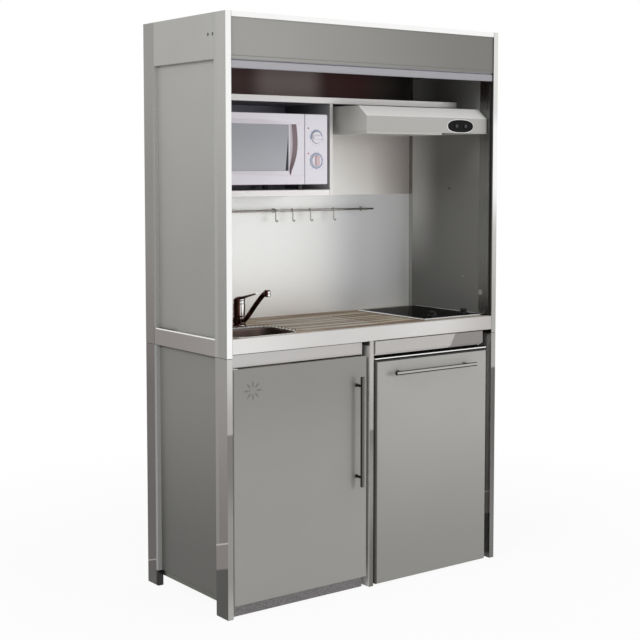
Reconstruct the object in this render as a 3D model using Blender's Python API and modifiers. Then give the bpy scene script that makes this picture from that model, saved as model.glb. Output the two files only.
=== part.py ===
# Compact kitchenette with a roller shutter: the construction model.
# Metres, +Z up. The origin is on the floor, under the middle of the whole outline.

import math

import bmesh
import bpy
from mathutils import Matrix, Vector

# Cabinet
WIDTH = 1.200
DEPTH = 0.530
HEIGHT = 1.980
LOWER_DROP = 0.0635
GAP = 0.0003
OVERRUN = 0.010
ROUND_SIDES = 32
SMALL_SIDES = 16

# Welded steel frames and the panels between their posts
POST_WIDTH = 0.022
POST_DEPTH = 0.072
POST_EDGE = 0.0012
WELD_LAP = 0.004
FOOT_CLEARANCE = 0.056
SILL_HEIGHT = 0.016
MID_RAIL_HEIGHT = 0.060
PANEL_THICKNESS = 0.006
SKIN = 0.0015
TOP_RAIL_HEIGHT = 0.018
CENTRE_POST_WIDTH = 0.020
CENTRE_POST_DEPTH = 0.060
PARTITION_THICKNESS = 0.012
BACK_SETBACK = 0.052
BACK_THICKNESS = 0.006
SPLASH_DROP = 0.026
VENT_WIDTH = 0.110
VENT_HEIGHT = 0.008
VENT_PITCH = 0.024
VENT_FIRST = 0.130
VENT_COUNT = 6

# Base of the cupboard
BASE_THICKNESS = 0.018
BASE_DOOR_GAP = 0.0023
PLINTH_WEB = 0.002
RAIL_THICKNESS = 0.018
RAIL_POST_GAP = 0.0187
PLINTH_BOTTOM = 0.002
PLINTH_TOP = 0.040

# Worktop, with its folded front band, drainer grooves and cut-outs
WORKTOP_TOP = 0.926
WORKTOP_BAND = 0.050
WORKTOP_SHEET = 0.004
WORKTOP_EDGE = 0.0015
DRAIN_BOWL_GAP = 0.045
DRAIN_HOB_GAP = 0.175
DRAIN_BACK_GAP = 0.106
DRAIN_FRONT = 0.075
DRAIN_PITCH = 0.027
DRAIN_WIDTH = 0.010
DRAIN_DEPTH = 0.0015

# Sink bowl, waste and trap
BOWL_LEFT = 0.045
APRON_SHEET = 0.002
APRON_BOWL_GAP = 0.0015
BOWL_HALF_WIDTH = 0.1375
BOWL_HALF_DEPTH = 0.114
BOWL_CORNER = 0.068
BOWL_DEPTH = 0.136
BOWL_SHEET = 0.0015
BOWL_FLANGE = 0.008
BOWL_DRAFT = 0.004
BOWL_FILLET = 0.026
BOWL_FALL = 0.002
BOWL_CORNER_STEPS = 6
WASTE_HOLE = 0.028
WASTE_FLANGE = 0.034
WASTE_FLANGE_HEIGHT = 0.002
WASTE_NUT = 0.036
WASTE_NUT_HEIGHT = 0.014
WASTE_DROP = 0.012
TRAP_PIPE = 0.016
TRAP_DROP = 0.080
TRAP_BOTTLE = 0.030
TRAP_BOTTLE_HEIGHT = 0.090
TRAP_SHOULDER = 0.010
TRAP_OUTLET_DROP = 0.018

# Tap
TAP_BOWL_OFFSET = 0.0695
TAP_BOWL_GAP = 0.0625
TAP_FLANGE = 0.0250
TAP_FLANGE_HEIGHT = 0.008
TAP_NECK = 0.0165
TAP_NECK_HEIGHT = 0.024
TAP_BARREL = 0.0215
TAP_BARREL_HEIGHT = 0.046
TAP_COLLAR = 0.0205
TAP_COLLAR_HEIGHT = 0.010
TAP_CAP_HEIGHT = 0.010
TAP_CAP_EDGE = 0.003
SPOUT_RADIUS = 0.0085
SPOUT_REACH = 0.157
SPOUT_RISE = 0.108
SPOUT_SWING = 0.013
SPOUT_OUT_SHARES = (0.115, 0.19, 0.27, 0.38, 0.63, 0.83, 0.94, 1.00)
SPOUT_UP_SHARES = (0.000, 0.01, 0.07, 0.21, 0.59, 0.87, 0.98, 1.00)
SPOUT_SIDE_SHARES = (0.000, 0.00, 0.02, 0.10, 0.45, 0.80, 0.95, 1.00)
SPOUT_RING_WALL = 0.006
AERATOR_RADIUS = 0.0120
AERATOR_HEIGHT = 0.024
LEVER_REACH = 0.112
LEVER_WIDTH = 0.016
LEVER_THICKNESS = 0.005
LEVER_RISE = 0.028

# Hob
HOB_SIDE_GAP = 0.030
HOB_WIDTH = 0.300
HOB_FRONT = 0.030
HOB_BACK_GAP = 0.053
HOB_PLATE = 0.006
HOB_EDGE = 0.0015
HOB_BORDER = 0.012
HOB_GLASS = 0.004
HOB_LIP = 0.017
HOB_BOX_DEPTH = 0.040
HOB_FIT = 0.002
KNOB_SIDE_INSET = 0.140
KNOB_SPACING = 0.154
KNOB_FRONT = 0.048
HOB_KNOB_RADIUS = 0.0175
HOB_KNOB_HEIGHT = 0.020
HOB_KNOB_SKIRT = 0.006
HOB_KNOB_GRIP = 0.010

# Shelves and the microwave niche
SHELF_THICKNESS = 0.022
SHELF_DEPTH = 0.277
TOP_SPACE = 0.250
DIVIDER_THICKNESS = 0.014
SHELF_EDGE = 0.001

# Utensil rail and its hooks
UTENSIL_RAIL_DROP = 0.081
UTENSIL_RAIL_LEFT = 0.060
UTENSIL_RAIL_LENGTH = 0.908
UTENSIL_RAIL_RADIUS = 0.004
UTENSIL_RAIL_STANDOFF = 0.030
BRACKET_RADIUS = 0.005
BRACKET_INSET = 0.040
HOOK_PLACES = (0.500, 0.578, 0.660, 0.770)
HOOK_WIRE = 0.0022
HOOK_DROP = 0.034
HOOK_BOWL = 0.0125
HOOK_CURL_STEPS = 8

# Cooker hood
HOOD_DIVIDER_GAP = 0.021
HOOD_FRONT = 0.034
HOOD_SHELF_GAP = 0.009
HOOD_FACE = 0.055
HOOD_SLOPE = 0.037
HOOD_SLOPE_BACK = 0.047
HOOD_SHEET = 0.002
FILTER_INSET = 0.030
FILTER_THICKNESS = 0.004
FILTER_RECESS = 0.004
HOOD_PLATE_MARGIN = 0.156
HOOD_PLATE_WIDTH = 0.124
HOOD_PLATE_HEIGHT = 0.046
HOOD_PLATE_THICKNESS = 0.0032
HOOD_PLATE_RISE = 0.026
HOOD_BUTTON_RADIUS = 0.0065
HOOD_BUTTON_SPACING = 0.044
HOOD_BUTTON_LENGTH = 0.0042
HOOD_BUTTON_PROUD = 0.0026
BUTTON_PLAY = 0.0004

# Roller shutter
BOX_HEIGHT = 0.150
FASCIA_SETBACK = 0.005
FASCIA_THICKNESS = 0.0025
CASSETTE_SHEET = 0.002
CASSETTE_MOUTH = 0.034
COIL_BACK_GAP = 0.0195
CURTAIN_FRONT = 0.0095
CURTAIN_THICKNESS = 0.007
COIL_RADIUS = 0.047
ROLLER_DROP = 0.084
JOURNAL_RADIUS = 0.006
JOURNAL_PLAY = 0.0002
GUIDE_POCKET = 0.012
GUIDE_WEB = 0.0015
GUIDE_WALL = 0.002
GUIDE_PLAY = 0.002
BAR_FRONT = 0.0045
BAR_DEPTH = 0.017
BAR_HEIGHT = 0.025
BAR_PLAY = 0.0007
BAR_EDGE = 0.003
BAR_DROP = 0.005

# Cupboard door
DOOR_HINGE_GAP = 0.0015
DOOR_POST_GAP = 0.013
DOOR_THICKNESS = 0.018
DOOR_PLINTH_GAP = 0.003
DOOR_DROP = 0.100
DOOR_STILE = 0.024
DOOR_HINGE_ROUND = 0.0085
DOOR_EDGE = 0.002
EDGE_STEPS = 3
PIVOT_RADIUS = 0.003
PIVOT_LENGTH = 0.012
PIVOT_PLAY = 0.0002
PIVOT_PLATE = 0.0024
PIVOT_PLATE_WIDTH = 0.022
ROSETTE_X = 0.100
ROSETTE_DROP = 0.074
ROSETTE_RADIUS = 0.033
ROSETTE_HUB = 0.010
ROSETTE_SLOT = 0.005
ROSETTE_DEPTH = 0.0008
ROSETTE_COUNT = 8

# Bar handles
HANDLE_DIAMETER = 0.014
HANDLE_LENGTH = 0.386
HANDLE_CENTRES = 0.320
HANDLE_STANDOFF = 0.035
HANDLE_FOOT = 0.010
CUPBOARD_HANDLE_INSET = 0.046
CUPBOARD_HANDLE_DROP = 0.258
FRIDGE_HANDLE_INSET = 0.257
FRIDGE_HANDLE_DROP = 0.046

# Refrigerator
FRIDGE_CASE_GAP = 0.0055
FRIDGE_CASE_MARGIN = 0.0215
FRIDGE_CASE_WIDTH = 0.540
SEAL_DEPTH = 0.006
FRIDGE_BACK_GAP = 0.023
FRIDGE_CASE_BOTTOM = 0.020
FRIDGE_CASE_DROP = 0.076
FRIDGE_WALL = 0.040
FRIDGE_BACK_WALL = 0.035
COMPRESSOR_BAY_DEPTH = 0.115
COMPRESSOR_BAY_HEIGHT = 0.170
BAY_FLOOR = 0.006
CASE_BRACKET = 0.040
COMPRESSOR_RADIUS = 0.048
COMPRESSOR_HEIGHT = 0.130
COMPRESSOR_DOME = 0.030
FRIDGE_FOOT_RADIUS = 0.018
FRIDGE_FOOT_INSET = 0.050
FRIDGE_SHELF_HEIGHT = 0.500
FRIDGE_SHELF_THICKNESS = 0.005
FRIDGE_SHELF_FRONT = 0.090
FRIDGE_DOOR_GAP = 0.002
FRIDGE_DOOR_MARGIN = 0.0115
FRIDGE_DOOR_PROUD = 0.008
FRIDGE_DOOR_THICKNESS = 0.048
FRIDGE_DOOR_SEAT = 0.0009
FRIDGE_DOOR_HEAD = 0.004
FRIDGE_DOOR_EDGE = 0.005
FRIDGE_HINGE_INSET = 0.015
FRIDGE_HINGE_DEPTH = 0.025
FRIDGE_PIN = 0.004
FRIDGE_PIN_LENGTH = 0.014
GASKET_INSET = 0.024
GASKET_HINGE_INSET = 0.040
DOOR_LINER_INSET = 0.060
DOOR_LINER_DEPTH = 0.030
STRIP_MARGIN = 0.017
STRIP_PROUD = 0.006
STRIP_THICKNESS = 0.012
STRIP_HEIGHT = 0.0445
STRIP_DROP = 0.0018
BAR_LINE_DROP = 0.0197
BAR_LINE_HEIGHT = 0.0055
HOUSING_DROP = 0.006
HINGE_PLATE_WIDTH = 0.045
LOWER_PLATE = 0.003
LOWER_PLATE_BOTTOM = 0.0026

# Microwave oven
OVEN_LEFT = 0.062
OVEN_WIDTH = 0.450
OVEN_BACK_GAP = 0.016
OVEN_SIDE_GAP = 0.056
OVEN_HEADROOM = 0.0417
OVEN_DEPTH = 0.322
OVEN_HEIGHT = 0.243
OVEN_FOOT_HEIGHT = 0.020
OVEN_FOOT_RADIUS = 0.010
OVEN_FOOT_INSET = 0.035
OVEN_FOOT_SPREAD = 0.070
OVEN_EDGE = 0.003
OVEN_PANEL_WIDTH = 0.0995
OVEN_DOOR_THICKNESS = 0.028
OVEN_DOOR_GAP = 0.002
OVEN_CASE_SETBACK = 0.0015
OVEN_DOOR_HINGE = 0.002
OVEN_SEAL = 0.0012
OVEN_SEAL_INSET = 0.012
CAVITY_WALL = 0.016
CAVITY_FLOOR = 0.013
CAVITY_MARGIN = 0.0145
OVEN_BACK_WALL = 0.0225
WINDOW_LEFT = 0.014
WINDOW_GRIP_GAP = 0.003
WINDOW_BOTTOM = 0.047
WINDOW_HEAD = 0.038
WINDOW_DEPTH = 0.003
GRIP_INSET = 0.0635
GRIP_WIDTH = 0.036
GRIP_BOTTOM = 0.029
GRIP_HEAD = 0.036
GRIP_DEPTH = 0.014
GRIP_SHARES = (0.28, 0.52, 0.72, 0.87, 0.96, 1.00, 1.00, 0.97, 0.91, 0.84)
TURNTABLE_RADIUS = 0.122
TURNTABLE_THICKNESS = 0.006
TURNTABLE_RIM = 0.004
TURNTABLE_HUB = 0.020
TURNTABLE_LIFT = 0.008
OVEN_KNOB_INSET = 0.049
OVEN_KNOB_RADIUS = 0.0205
OVEN_KNOB_DEPTH = 0.012
OVEN_KNOB_SKIRT = 0.004
OVEN_KNOB_GRIP = 0.007
OVEN_KNOB_HEIGHTS = (0.163, 0.082)

# Colour, roughness and metallic value of each finish
STAINLESS = ((0.62, 0.62, 0.60), 0.25, 1.0)
SATIN_STEEL = ((0.50, 0.50, 0.48), 0.40, 1.0)
CHROME = ((0.78, 0.78, 0.78), 0.08, 1.0)
ALUMINIUM = ((0.55, 0.57, 0.60), 0.35, 1.0)
DOOR_GREY = ((0.31, 0.30, 0.28), 0.45, 0.0)
PANEL_GREY = ((0.35, 0.35, 0.33), 0.50, 0.0)
SHELF_WHITE = ((0.74, 0.73, 0.70), 0.40, 0.0)
CREAM = ((0.66, 0.64, 0.58), 0.50, 0.0)
DARK_GREY = ((0.09, 0.09, 0.08), 0.50, 0.0)
OVEN_WHITE = ((0.72, 0.71, 0.73), 0.30, 0.0)
KNOB_BLACK = ((0.015, 0.015, 0.015), 0.35, 0.0)
GLASS_BLACK = ((0.010, 0.010, 0.012), 0.06, 0.0)
CLEAR_GLASS = ((0.70, 0.78, 0.76), 0.05, 0.0)
WHITE_PLASTIC = ((0.75, 0.75, 0.74), 0.40, 0.0)
HOOD_GREY = ((0.45, 0.45, 0.43), 0.40, 0.2)

# Sizes and places that follow from the ones above. The refrigerator sets the right bay, and
# the cupboard takes the rest of the width.
BACK_WALL = DEPTH - BACK_SETBACK
LOWER_HEIGHT = WORKTOP_TOP - LOWER_DROP
CENTRE_POST_RIGHT = WIDTH - POST_WIDTH - FRIDGE_CASE_MARGIN - FRIDGE_CASE_WIDTH - FRIDGE_CASE_GAP
CENTRE_POST_LEFT = CENTRE_POST_RIGHT - CENTRE_POST_WIDTH
FRIDGE_CASE_LEFT = CENTRE_POST_RIGHT + FRIDGE_CASE_GAP
FRIDGE_DOOR_LEFT = CENTRE_POST_RIGHT + FRIDGE_DOOR_GAP
FRIDGE_DOOR_RIGHT = FRIDGE_CASE_LEFT + FRIDGE_CASE_WIDTH - FRIDGE_DOOR_MARGIN
FRIDGE_DOOR_WIDTH = FRIDGE_DOOR_RIGHT - FRIDGE_DOOR_LEFT
FRIDGE_CASE_FRONT = FRIDGE_DOOR_THICKNESS - FRIDGE_DOOR_PROUD + SEAL_DEPTH
FRIDGE_CASE_DEPTH = BACK_WALL - FRIDGE_BACK_GAP - FRIDGE_CASE_FRONT
FRIDGE_CASE_TOP = WORKTOP_TOP - FRIDGE_CASE_DROP
STRIP_WIDTH = FRIDGE_DOOR_WIDTH - STRIP_MARGIN
STRIP_TOP = WORKTOP_TOP - WORKTOP_BAND - STRIP_DROP
STRIP_BOTTOM = STRIP_TOP - STRIP_HEIGHT
HOUSING_BOTTOM = STRIP_BOTTOM - HOUSING_DROP
BAR_LINE_BOTTOM = STRIP_BOTTOM - BAR_LINE_DROP
FRIDGE_DOOR_TOP = BAR_LINE_BOTTOM - FRIDGE_DOOR_HEAD
FRIDGE_DOOR_BOTTOM = LOWER_PLATE_BOTTOM + LOWER_PLATE + FRIDGE_DOOR_SEAT
FRIDGE_HANDLE_X = FRIDGE_DOOR_LEFT + FRIDGE_HANDLE_INSET
FRIDGE_HANDLE_HEIGHT = FRIDGE_DOOR_TOP - FRIDGE_HANDLE_DROP
FRONT_SETBACK = DOOR_THICKNESS
BASE_FRONT = DOOR_THICKNESS + BASE_DOOR_GAP
RAIL_LENGTH = CENTRE_POST_LEFT - RAIL_POST_GAP - POST_WIDTH - GAP
DOOR_LEFT = POST_WIDTH + DOOR_HINGE_GAP
DOOR_WIDTH = CENTRE_POST_LEFT - DOOR_POST_GAP - DOOR_LEFT
DOOR_BOTTOM = PLINTH_TOP + DOOR_PLINTH_GAP
DOOR_TOP = WORKTOP_TOP - DOOR_DROP
ROSETTE_HEIGHT = DOOR_TOP - ROSETTE_DROP
CUPBOARD_HANDLE_X = DOOR_LEFT + DOOR_WIDTH - CUPBOARD_HANDLE_INSET
CUPBOARD_HANDLE_HEIGHT = DOOR_TOP - CUPBOARD_HANDLE_DROP
BOWL_X = BOWL_LEFT + BOWL_HALF_WIDTH
BOWL_FRONT = FRONT_SETBACK + APRON_SHEET + APRON_BOWL_GAP
BOWL_Y = BOWL_FRONT + BOWL_HALF_DEPTH
TAP_X = BOWL_X + TAP_BOWL_OFFSET
TAP_Y = BOWL_Y + BOWL_HALF_DEPTH + TAP_BOWL_GAP
HOB_LEFT = WIDTH - HOB_SIDE_GAP - HOB_WIDTH
HOB_DEPTH = BACK_WALL - HOB_BACK_GAP - HOB_FRONT
KNOB_MIDDLE = HOB_LEFT + HOB_WIDTH - KNOB_SIDE_INSET
DRAIN_LEFT = BOWL_X + BOWL_HALF_WIDTH + DRAIN_BOWL_GAP
DRAIN_LENGTH = HOB_LEFT - DRAIN_HOB_GAP - DRAIN_LEFT
DRAIN_COUNT = 1 + round((BACK_WALL - DRAIN_BACK_GAP - DRAIN_FRONT) / DRAIN_PITCH)
SHELF_FRONT = BACK_WALL - SHELF_DEPTH
OVEN_FRONT = BACK_WALL - OVEN_BACK_GAP - OVEN_DEPTH
OVEN_DOOR_WIDTH = OVEN_WIDTH - OVEN_PANEL_WIDTH
OVEN_KNOB_X = OVEN_LEFT + OVEN_WIDTH - OVEN_KNOB_INSET
CAVITY_WIDTH = OVEN_DOOR_WIDTH - CAVITY_WALL - CAVITY_MARGIN
CAVITY_DEPTH = OVEN_DEPTH - OVEN_DOOR_THICKNESS - OVEN_CASE_SETBACK - OVEN_BACK_WALL
GRIP_LEFT = OVEN_DOOR_WIDTH - GRIP_INSET
GRIP_HEIGHT = OVEN_HEIGHT - GRIP_BOTTOM - GRIP_HEAD
WINDOW_WIDTH = GRIP_LEFT - WINDOW_GRIP_GAP - WINDOW_LEFT
WINDOW_HEIGHT = OVEN_HEIGHT - WINDOW_BOTTOM - WINDOW_HEAD
DIVIDER_LEFT = OVEN_LEFT + OVEN_WIDTH + OVEN_SIDE_GAP
TOP_SHELF_TOP = HEIGHT - TOP_SPACE
OVEN_TOP = TOP_SHELF_TOP - SHELF_THICKNESS - OVEN_HEADROOM
NICHE_SHELF_TOP = OVEN_TOP - OVEN_HEIGHT - OVEN_FOOT_HEIGHT - GAP
SPLASH_TOP = NICHE_SHELF_TOP - SPLASH_DROP
UTENSIL_RAIL_HEIGHT = NICHE_SHELF_TOP - UTENSIL_RAIL_DROP
HOOD_LEFT = DIVIDER_LEFT + DIVIDER_THICKNESS + HOOD_DIVIDER_GAP
HOOD_TOP = TOP_SHELF_TOP - SHELF_THICKNESS - HOOD_SHELF_GAP
HOOD_BOTTOM = HOOD_TOP - HOOD_SLOPE - HOOD_FACE
HOOD_PLATE_X = WIDTH - HOOD_PLATE_MARGIN
CASSETTE_DEPTH = CURTAIN_FRONT + CURTAIN_THICKNESS + 2 * COIL_RADIUS + COIL_BACK_GAP
ROLLER_HEIGHT = HEIGHT - ROLLER_DROP
REACH = FRIDGE_DOOR_PROUD + HANDLE_STANDOFF + HANDLE_DIAMETER / 2
LEFT = -WIDTH / 2
RIGHT = WIDTH / 2
FRONT = -(DEPTH - REACH) / 2
BACK = FRONT + DEPTH
INNER_LEFT = LEFT + POST_WIDTH + GAP
INNER_RIGHT = RIGHT - POST_WIDTH - GAP
WALL_FACE = FRONT + BACK_WALL
INNER_BACK = WALL_FACE - GAP
WORKTOP_BOTTOM = WORKTOP_TOP - WORKTOP_BAND
BOX_BOTTOM = HEIGHT - BOX_HEIGHT
UNDER_TOP = HEIGHT - TOP_RAIL_HEIGHT
BOWL_FLOOR = WORKTOP_TOP - BOWL_DEPTH
CASSETTE_BOTTOM = BOX_BOTTOM + SKIN + GAP
POCKET = LEFT + POST_WIDTH - GUIDE_POCKET


def across(distance):
    """World X of a distance from the cabinet's left side."""
    return LEFT + distance


def behind(distance):
    """World Y of a distance behind the cabinet's front plane."""
    return FRONT + distance


def clear_scene():
    for old in list(bpy.data.objects):
        bpy.data.objects.remove(old, do_unlink=True)


def new_collection(name):
    made = bpy.data.collections.new(name)
    bpy.context.scene.collection.children.link(made)
    return made


clear_scene()
PARTS = new_collection("compact_kitchenette")
CUTTERS = new_collection("cutters")


def own_material(name, look):
    colour, roughness, metallic = look
    made = bpy.data.materials.new(name)
    made.use_nodes = True
    shader = made.node_tree.nodes["Principled BSDF"]
    shader.inputs["Base Color"].default_value = (*colour, 1.0)
    shader.inputs["Roughness"].default_value = roughness
    shader.inputs["Metallic"].default_value = metallic
    return made


def place(name, mesh, at, look):
    """A node's object: a mesh at a place, with its own material."""
    mesh.name = name
    piece = bpy.data.objects.new(name, mesh)
    piece.location = at
    piece.data.materials.append(own_material(name, look))
    PARTS.objects.link(piece)
    return piece


def as_guide(piece):
    """Moves a piece that only cuts or joins another out of the part."""
    for holder in list(piece.users_collection):
        holder.objects.unlink(piece)
    CUTTERS.objects.link(piece)
    piece.hide_render = True
    piece.display_type = "WIRE"
    return piece


def combine(piece, others, operation):
    for other in others:
        as_guide(other)
        step = piece.modifiers.new(operation.lower(), "BOOLEAN")
        step.operation = operation
        step.solver = "EXACT"
        step.object = other
    return piece


def cut(piece, *cutters):
    return combine(piece, cutters, "DIFFERENCE")


def join(piece, *others):
    return combine(piece, others, "UNION")


def round_edges(piece, width, steps=2):
    bevel = piece.modifiers.new("edges", "BEVEL")
    bevel.width = width
    bevel.segments = steps
    bevel.limit_method = "ANGLE"
    return piece


def block(name, x, y, z, look=STAINLESS, edge=0.0):
    """A box between two values along each axis, with rounded edges if asked."""
    low = Vector((x[0], y[0], z[0]))
    high = Vector((x[1], y[1], z[1]))
    shape = bmesh.new()
    bmesh.ops.create_cube(shape, size=1.0)
    bmesh.ops.scale(shape, vec=high - low, verts=shape.verts)
    mesh = bpy.data.meshes.new(name)
    shape.to_mesh(mesh)
    shape.free()
    piece = place(name, mesh, (low + high) / 2, look)
    if edge:
        round_edges(piece, edge)
    return piece


AXIS_TURNS = {
    "X": Matrix.Rotation(math.pi / 2, 4, "Y"),
    "Y": Matrix.Rotation(-math.pi / 2, 4, "X"),
    "Z": Matrix.Identity(4),
}


def drum(name, middle, radius, length, axis="Z", look=STAINLESS, sides=ROUND_SIDES, edge=0.0):
    """A cylinder about its middle, along one world axis."""
    shape = bmesh.new()
    bmesh.ops.create_cone(
        shape, cap_ends=True, segments=sides, radius1=radius, radius2=radius, depth=length,
        matrix=AXIS_TURNS[axis],
    )
    mesh = bpy.data.meshes.new(name)
    shape.to_mesh(mesh)
    shape.free()
    mesh.shade_smooth()
    mesh.set_sharp_from_angle(angle=math.radians(35))
    piece = place(name, mesh, middle, look)
    if edge:
        round_edges(piece, edge)
    return piece


def turned(name, at, profile, look, sides=ROUND_SIDES):
    """A turned piece: (radius, height) points, top to bottom down the outer side."""
    shape = bmesh.new()
    points = [shape.verts.new((radius, 0, height)) for radius, height in profile]
    for first, second in zip(points, points[1:]):
        shape.edges.new((first, second))
    mesh = bpy.data.meshes.new(name)
    shape.to_mesh(mesh)
    shape.free()
    piece = place(name, mesh, at, look)
    screw = piece.modifiers.new("turn", "SCREW")
    screw.steps = sides
    screw.render_steps = sides
    screw.use_merge_vertices = True
    screw.merge_threshold = 0.0001
    return piece


def wire(name, points, radius, look, resolution=2):
    """A bent round bar through world points, as a closed mesh."""
    line = bpy.data.curves.new(name, "CURVE")
    line.dimensions = "3D"
    line.bevel_depth = radius
    line.bevel_resolution = resolution
    line.use_fill_caps = True
    spline = line.splines.new("POLY")
    spline.points.add(len(points) - 1)
    for place_on, point in zip(spline.points, points):
        place_on.co = (*point, 1.0)
    drawn = bpy.data.objects.new(name + "_line", line)
    CUTTERS.objects.link(drawn)
    bpy.context.view_layer.update()
    evaluated = drawn.evaluated_get(bpy.context.evaluated_depsgraph_get())
    mesh = bpy.data.meshes.new_from_object(evaluated)
    bpy.data.objects.remove(drawn, do_unlink=True)
    shape = bmesh.new()
    shape.from_mesh(mesh)
    bmesh.ops.remove_doubles(shape, verts=shape.verts, dist=radius / 1000)
    bmesh.ops.recalc_face_normals(shape, faces=shape.faces)
    shape.to_mesh(mesh)
    shape.free()
    mesh.materials.clear()
    return place(name, mesh, (0, 0, 0), look)


def rounded_rectangle(half_width, half_depth, corner, steps=BOWL_CORNER_STEPS):
    """Points round a rectangle with round corners, anticlockwise from above."""
    found = []
    for quarter, (side_x, side_y) in enumerate(((1, 1), (-1, 1), (-1, -1), (1, -1))):
        for step in range(steps + 1):
            angle = (quarter + step / steps) * math.pi / 2
            found.append((
                side_x * (half_width - corner) + corner * math.cos(angle),
                side_y * (half_depth - corner) + corner * math.sin(angle),
            ))
    return found


def loft(name, at, rings, look):
    """A closed skin through rings of points, the last ring joined to the first."""
    shape = bmesh.new()
    made = [[shape.verts.new(point) for point in ring] for ring in rings]
    for ring, after in zip(made, made[1:] + made[:1]):
        for n in range(len(ring)):
            m = (n + 1) % len(ring)
            shape.faces.new((ring[n], ring[m], after[m], after[n]))
    bmesh.ops.recalc_face_normals(shape, faces=shape.faces)
    mesh = bpy.data.meshes.new(name)
    shape.to_mesh(mesh)
    shape.free()
    return place(name, mesh, at, look)


def plate(name, at, outline, thickness, axis, look):
    """A flat outline given a thickness, its middle plane square to a world axis."""
    line = bpy.data.curves.new(name, "CURVE")
    line.dimensions = "2D"
    line.fill_mode = "BOTH"
    line.extrude = thickness / 2
    spline = line.splines.new("POLY")
    spline.points.add(len(outline) - 1)
    for place_on, point in zip(spline.points, outline):
        place_on.co = (*point, 0.0, 1.0)
    spline.use_cyclic_u = True
    drawn = bpy.data.objects.new(name + "_line", line)
    CUTTERS.objects.link(drawn)
    bpy.context.view_layer.update()
    evaluated = drawn.evaluated_get(bpy.context.evaluated_depsgraph_get())
    mesh = bpy.data.meshes.new_from_object(evaluated)
    bpy.data.objects.remove(drawn, do_unlink=True)
    shape = bmesh.new()
    shape.from_mesh(mesh)
    bmesh.ops.remove_doubles(shape, verts=shape.verts, dist=thickness / 1000)
    bmesh.ops.transform(shape, matrix=PLATE_TURNS[axis], verts=shape.verts)
    bmesh.ops.recalc_face_normals(shape, faces=shape.faces)
    shape.to_mesh(mesh)
    shape.free()
    mesh.materials.clear()
    return place(name, mesh, at, look)


# An outline's own axes: Y and Z for a plate square to X, X and Z for one square to Y.
PLATE_TURNS = {
    "X": Matrix(((0, 0, 1, 0), (1, 0, 0, 0), (0, 1, 0, 0), (0, 0, 0, 1))),
    "Y": Matrix(((1, 0, 0, 0), (0, 0, -1, 0), (0, 1, 0, 0), (0, 0, 0, 1))),
    "Z": Matrix.Identity(4),
}


def pivot(name, at):
    """An empty on a joint's axis, which carries what moves."""
    axis = bpy.data.objects.new(name, None)
    axis.location = at
    axis.empty_display_size = POST_WIDTH
    PARTS.objects.link(axis)
    return axis


def hang(carrier, *pieces):
    """Parents pieces to a pivot and leaves them where they stand."""
    for piece in pieces:
        piece.parent = carrier
        piece.location = piece.location - carrier.location


def mirrored(x):
    """A span of X on the left, taken over to the right side."""
    return (-x[1], -x[0])


SIDES = (("left", lambda x: x), ("right", mirrored))


def guide_span(wall):
    """World Y of the slot the curtain runs in, with a wall on each side of it."""
    return (
        behind(CURTAIN_FRONT) - GUIDE_PLAY - wall,
        behind(CURTAIN_FRONT + CURTAIN_THICKNESS) + GUIDE_PLAY + wall,
    )


def cut_guide_pockets(frame, side, turn):
    """A groove for the shutter's guide in a post's inner face, and a pocket for its box."""
    x = turn((POCKET, LEFT + POST_WIDTH + OVERRUN))
    ends = behind(FASCIA_SETBACK + FASCIA_THICKNESS)
    cut(
        frame,
        block(
            f"guide_groove_{side}", x, guide_span(GUIDE_WALL + GAP),
            (WORKTOP_TOP, CASSETTE_BOTTOM + GAP),
        ),
        block(
            f"cassette_pocket_{side}", x, (ends, FRONT + POST_DEPTH + OVERRUN),
            (CASSETTE_BOTTOM - GAP, UNDER_TOP),
        ),
    )


def make_side_frames():
    """Four welded frames: a front and a rear post, joined below or at half height."""
    outer = (LEFT, LEFT + POST_WIDTH)
    inner = (LEFT + POST_WIDTH - PANEL_THICKNESS, LEFT + POST_WIDTH)
    front = (FRONT, FRONT + POST_DEPTH)
    rear = (BACK - POST_DEPTH, BACK)
    between = (front[1] - WELD_LAP, rear[0] + WELD_LAP)
    lower = (0, LOWER_HEIGHT)
    upper = (LOWER_HEIGHT + GAP, HEIGHT)
    sill = (FOOT_CLEARANCE - SILL_HEIGHT, FOOT_CLEARANCE)
    middle = (upper[0], upper[0] + MID_RAIL_HEIGHT)
    for side, turn in SIDES:
        for level, height, rail_x, rail_z in (
            ("lower", lower, inner, sill), ("upper", upper, outer, middle),
        ):
            name = f"{level}_frame_{side}"
            frame = block(name, turn(outer), front, height, STAINLESS, POST_EDGE)
            join(
                frame,
                block(name + "_rear", turn(outer), rear, height, STAINLESS, POST_EDGE),
                block(name + "_rail", turn(rail_x), between, rail_z),
            )
            if level == "upper":
                cut_guide_pockets(frame, side, turn)


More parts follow.
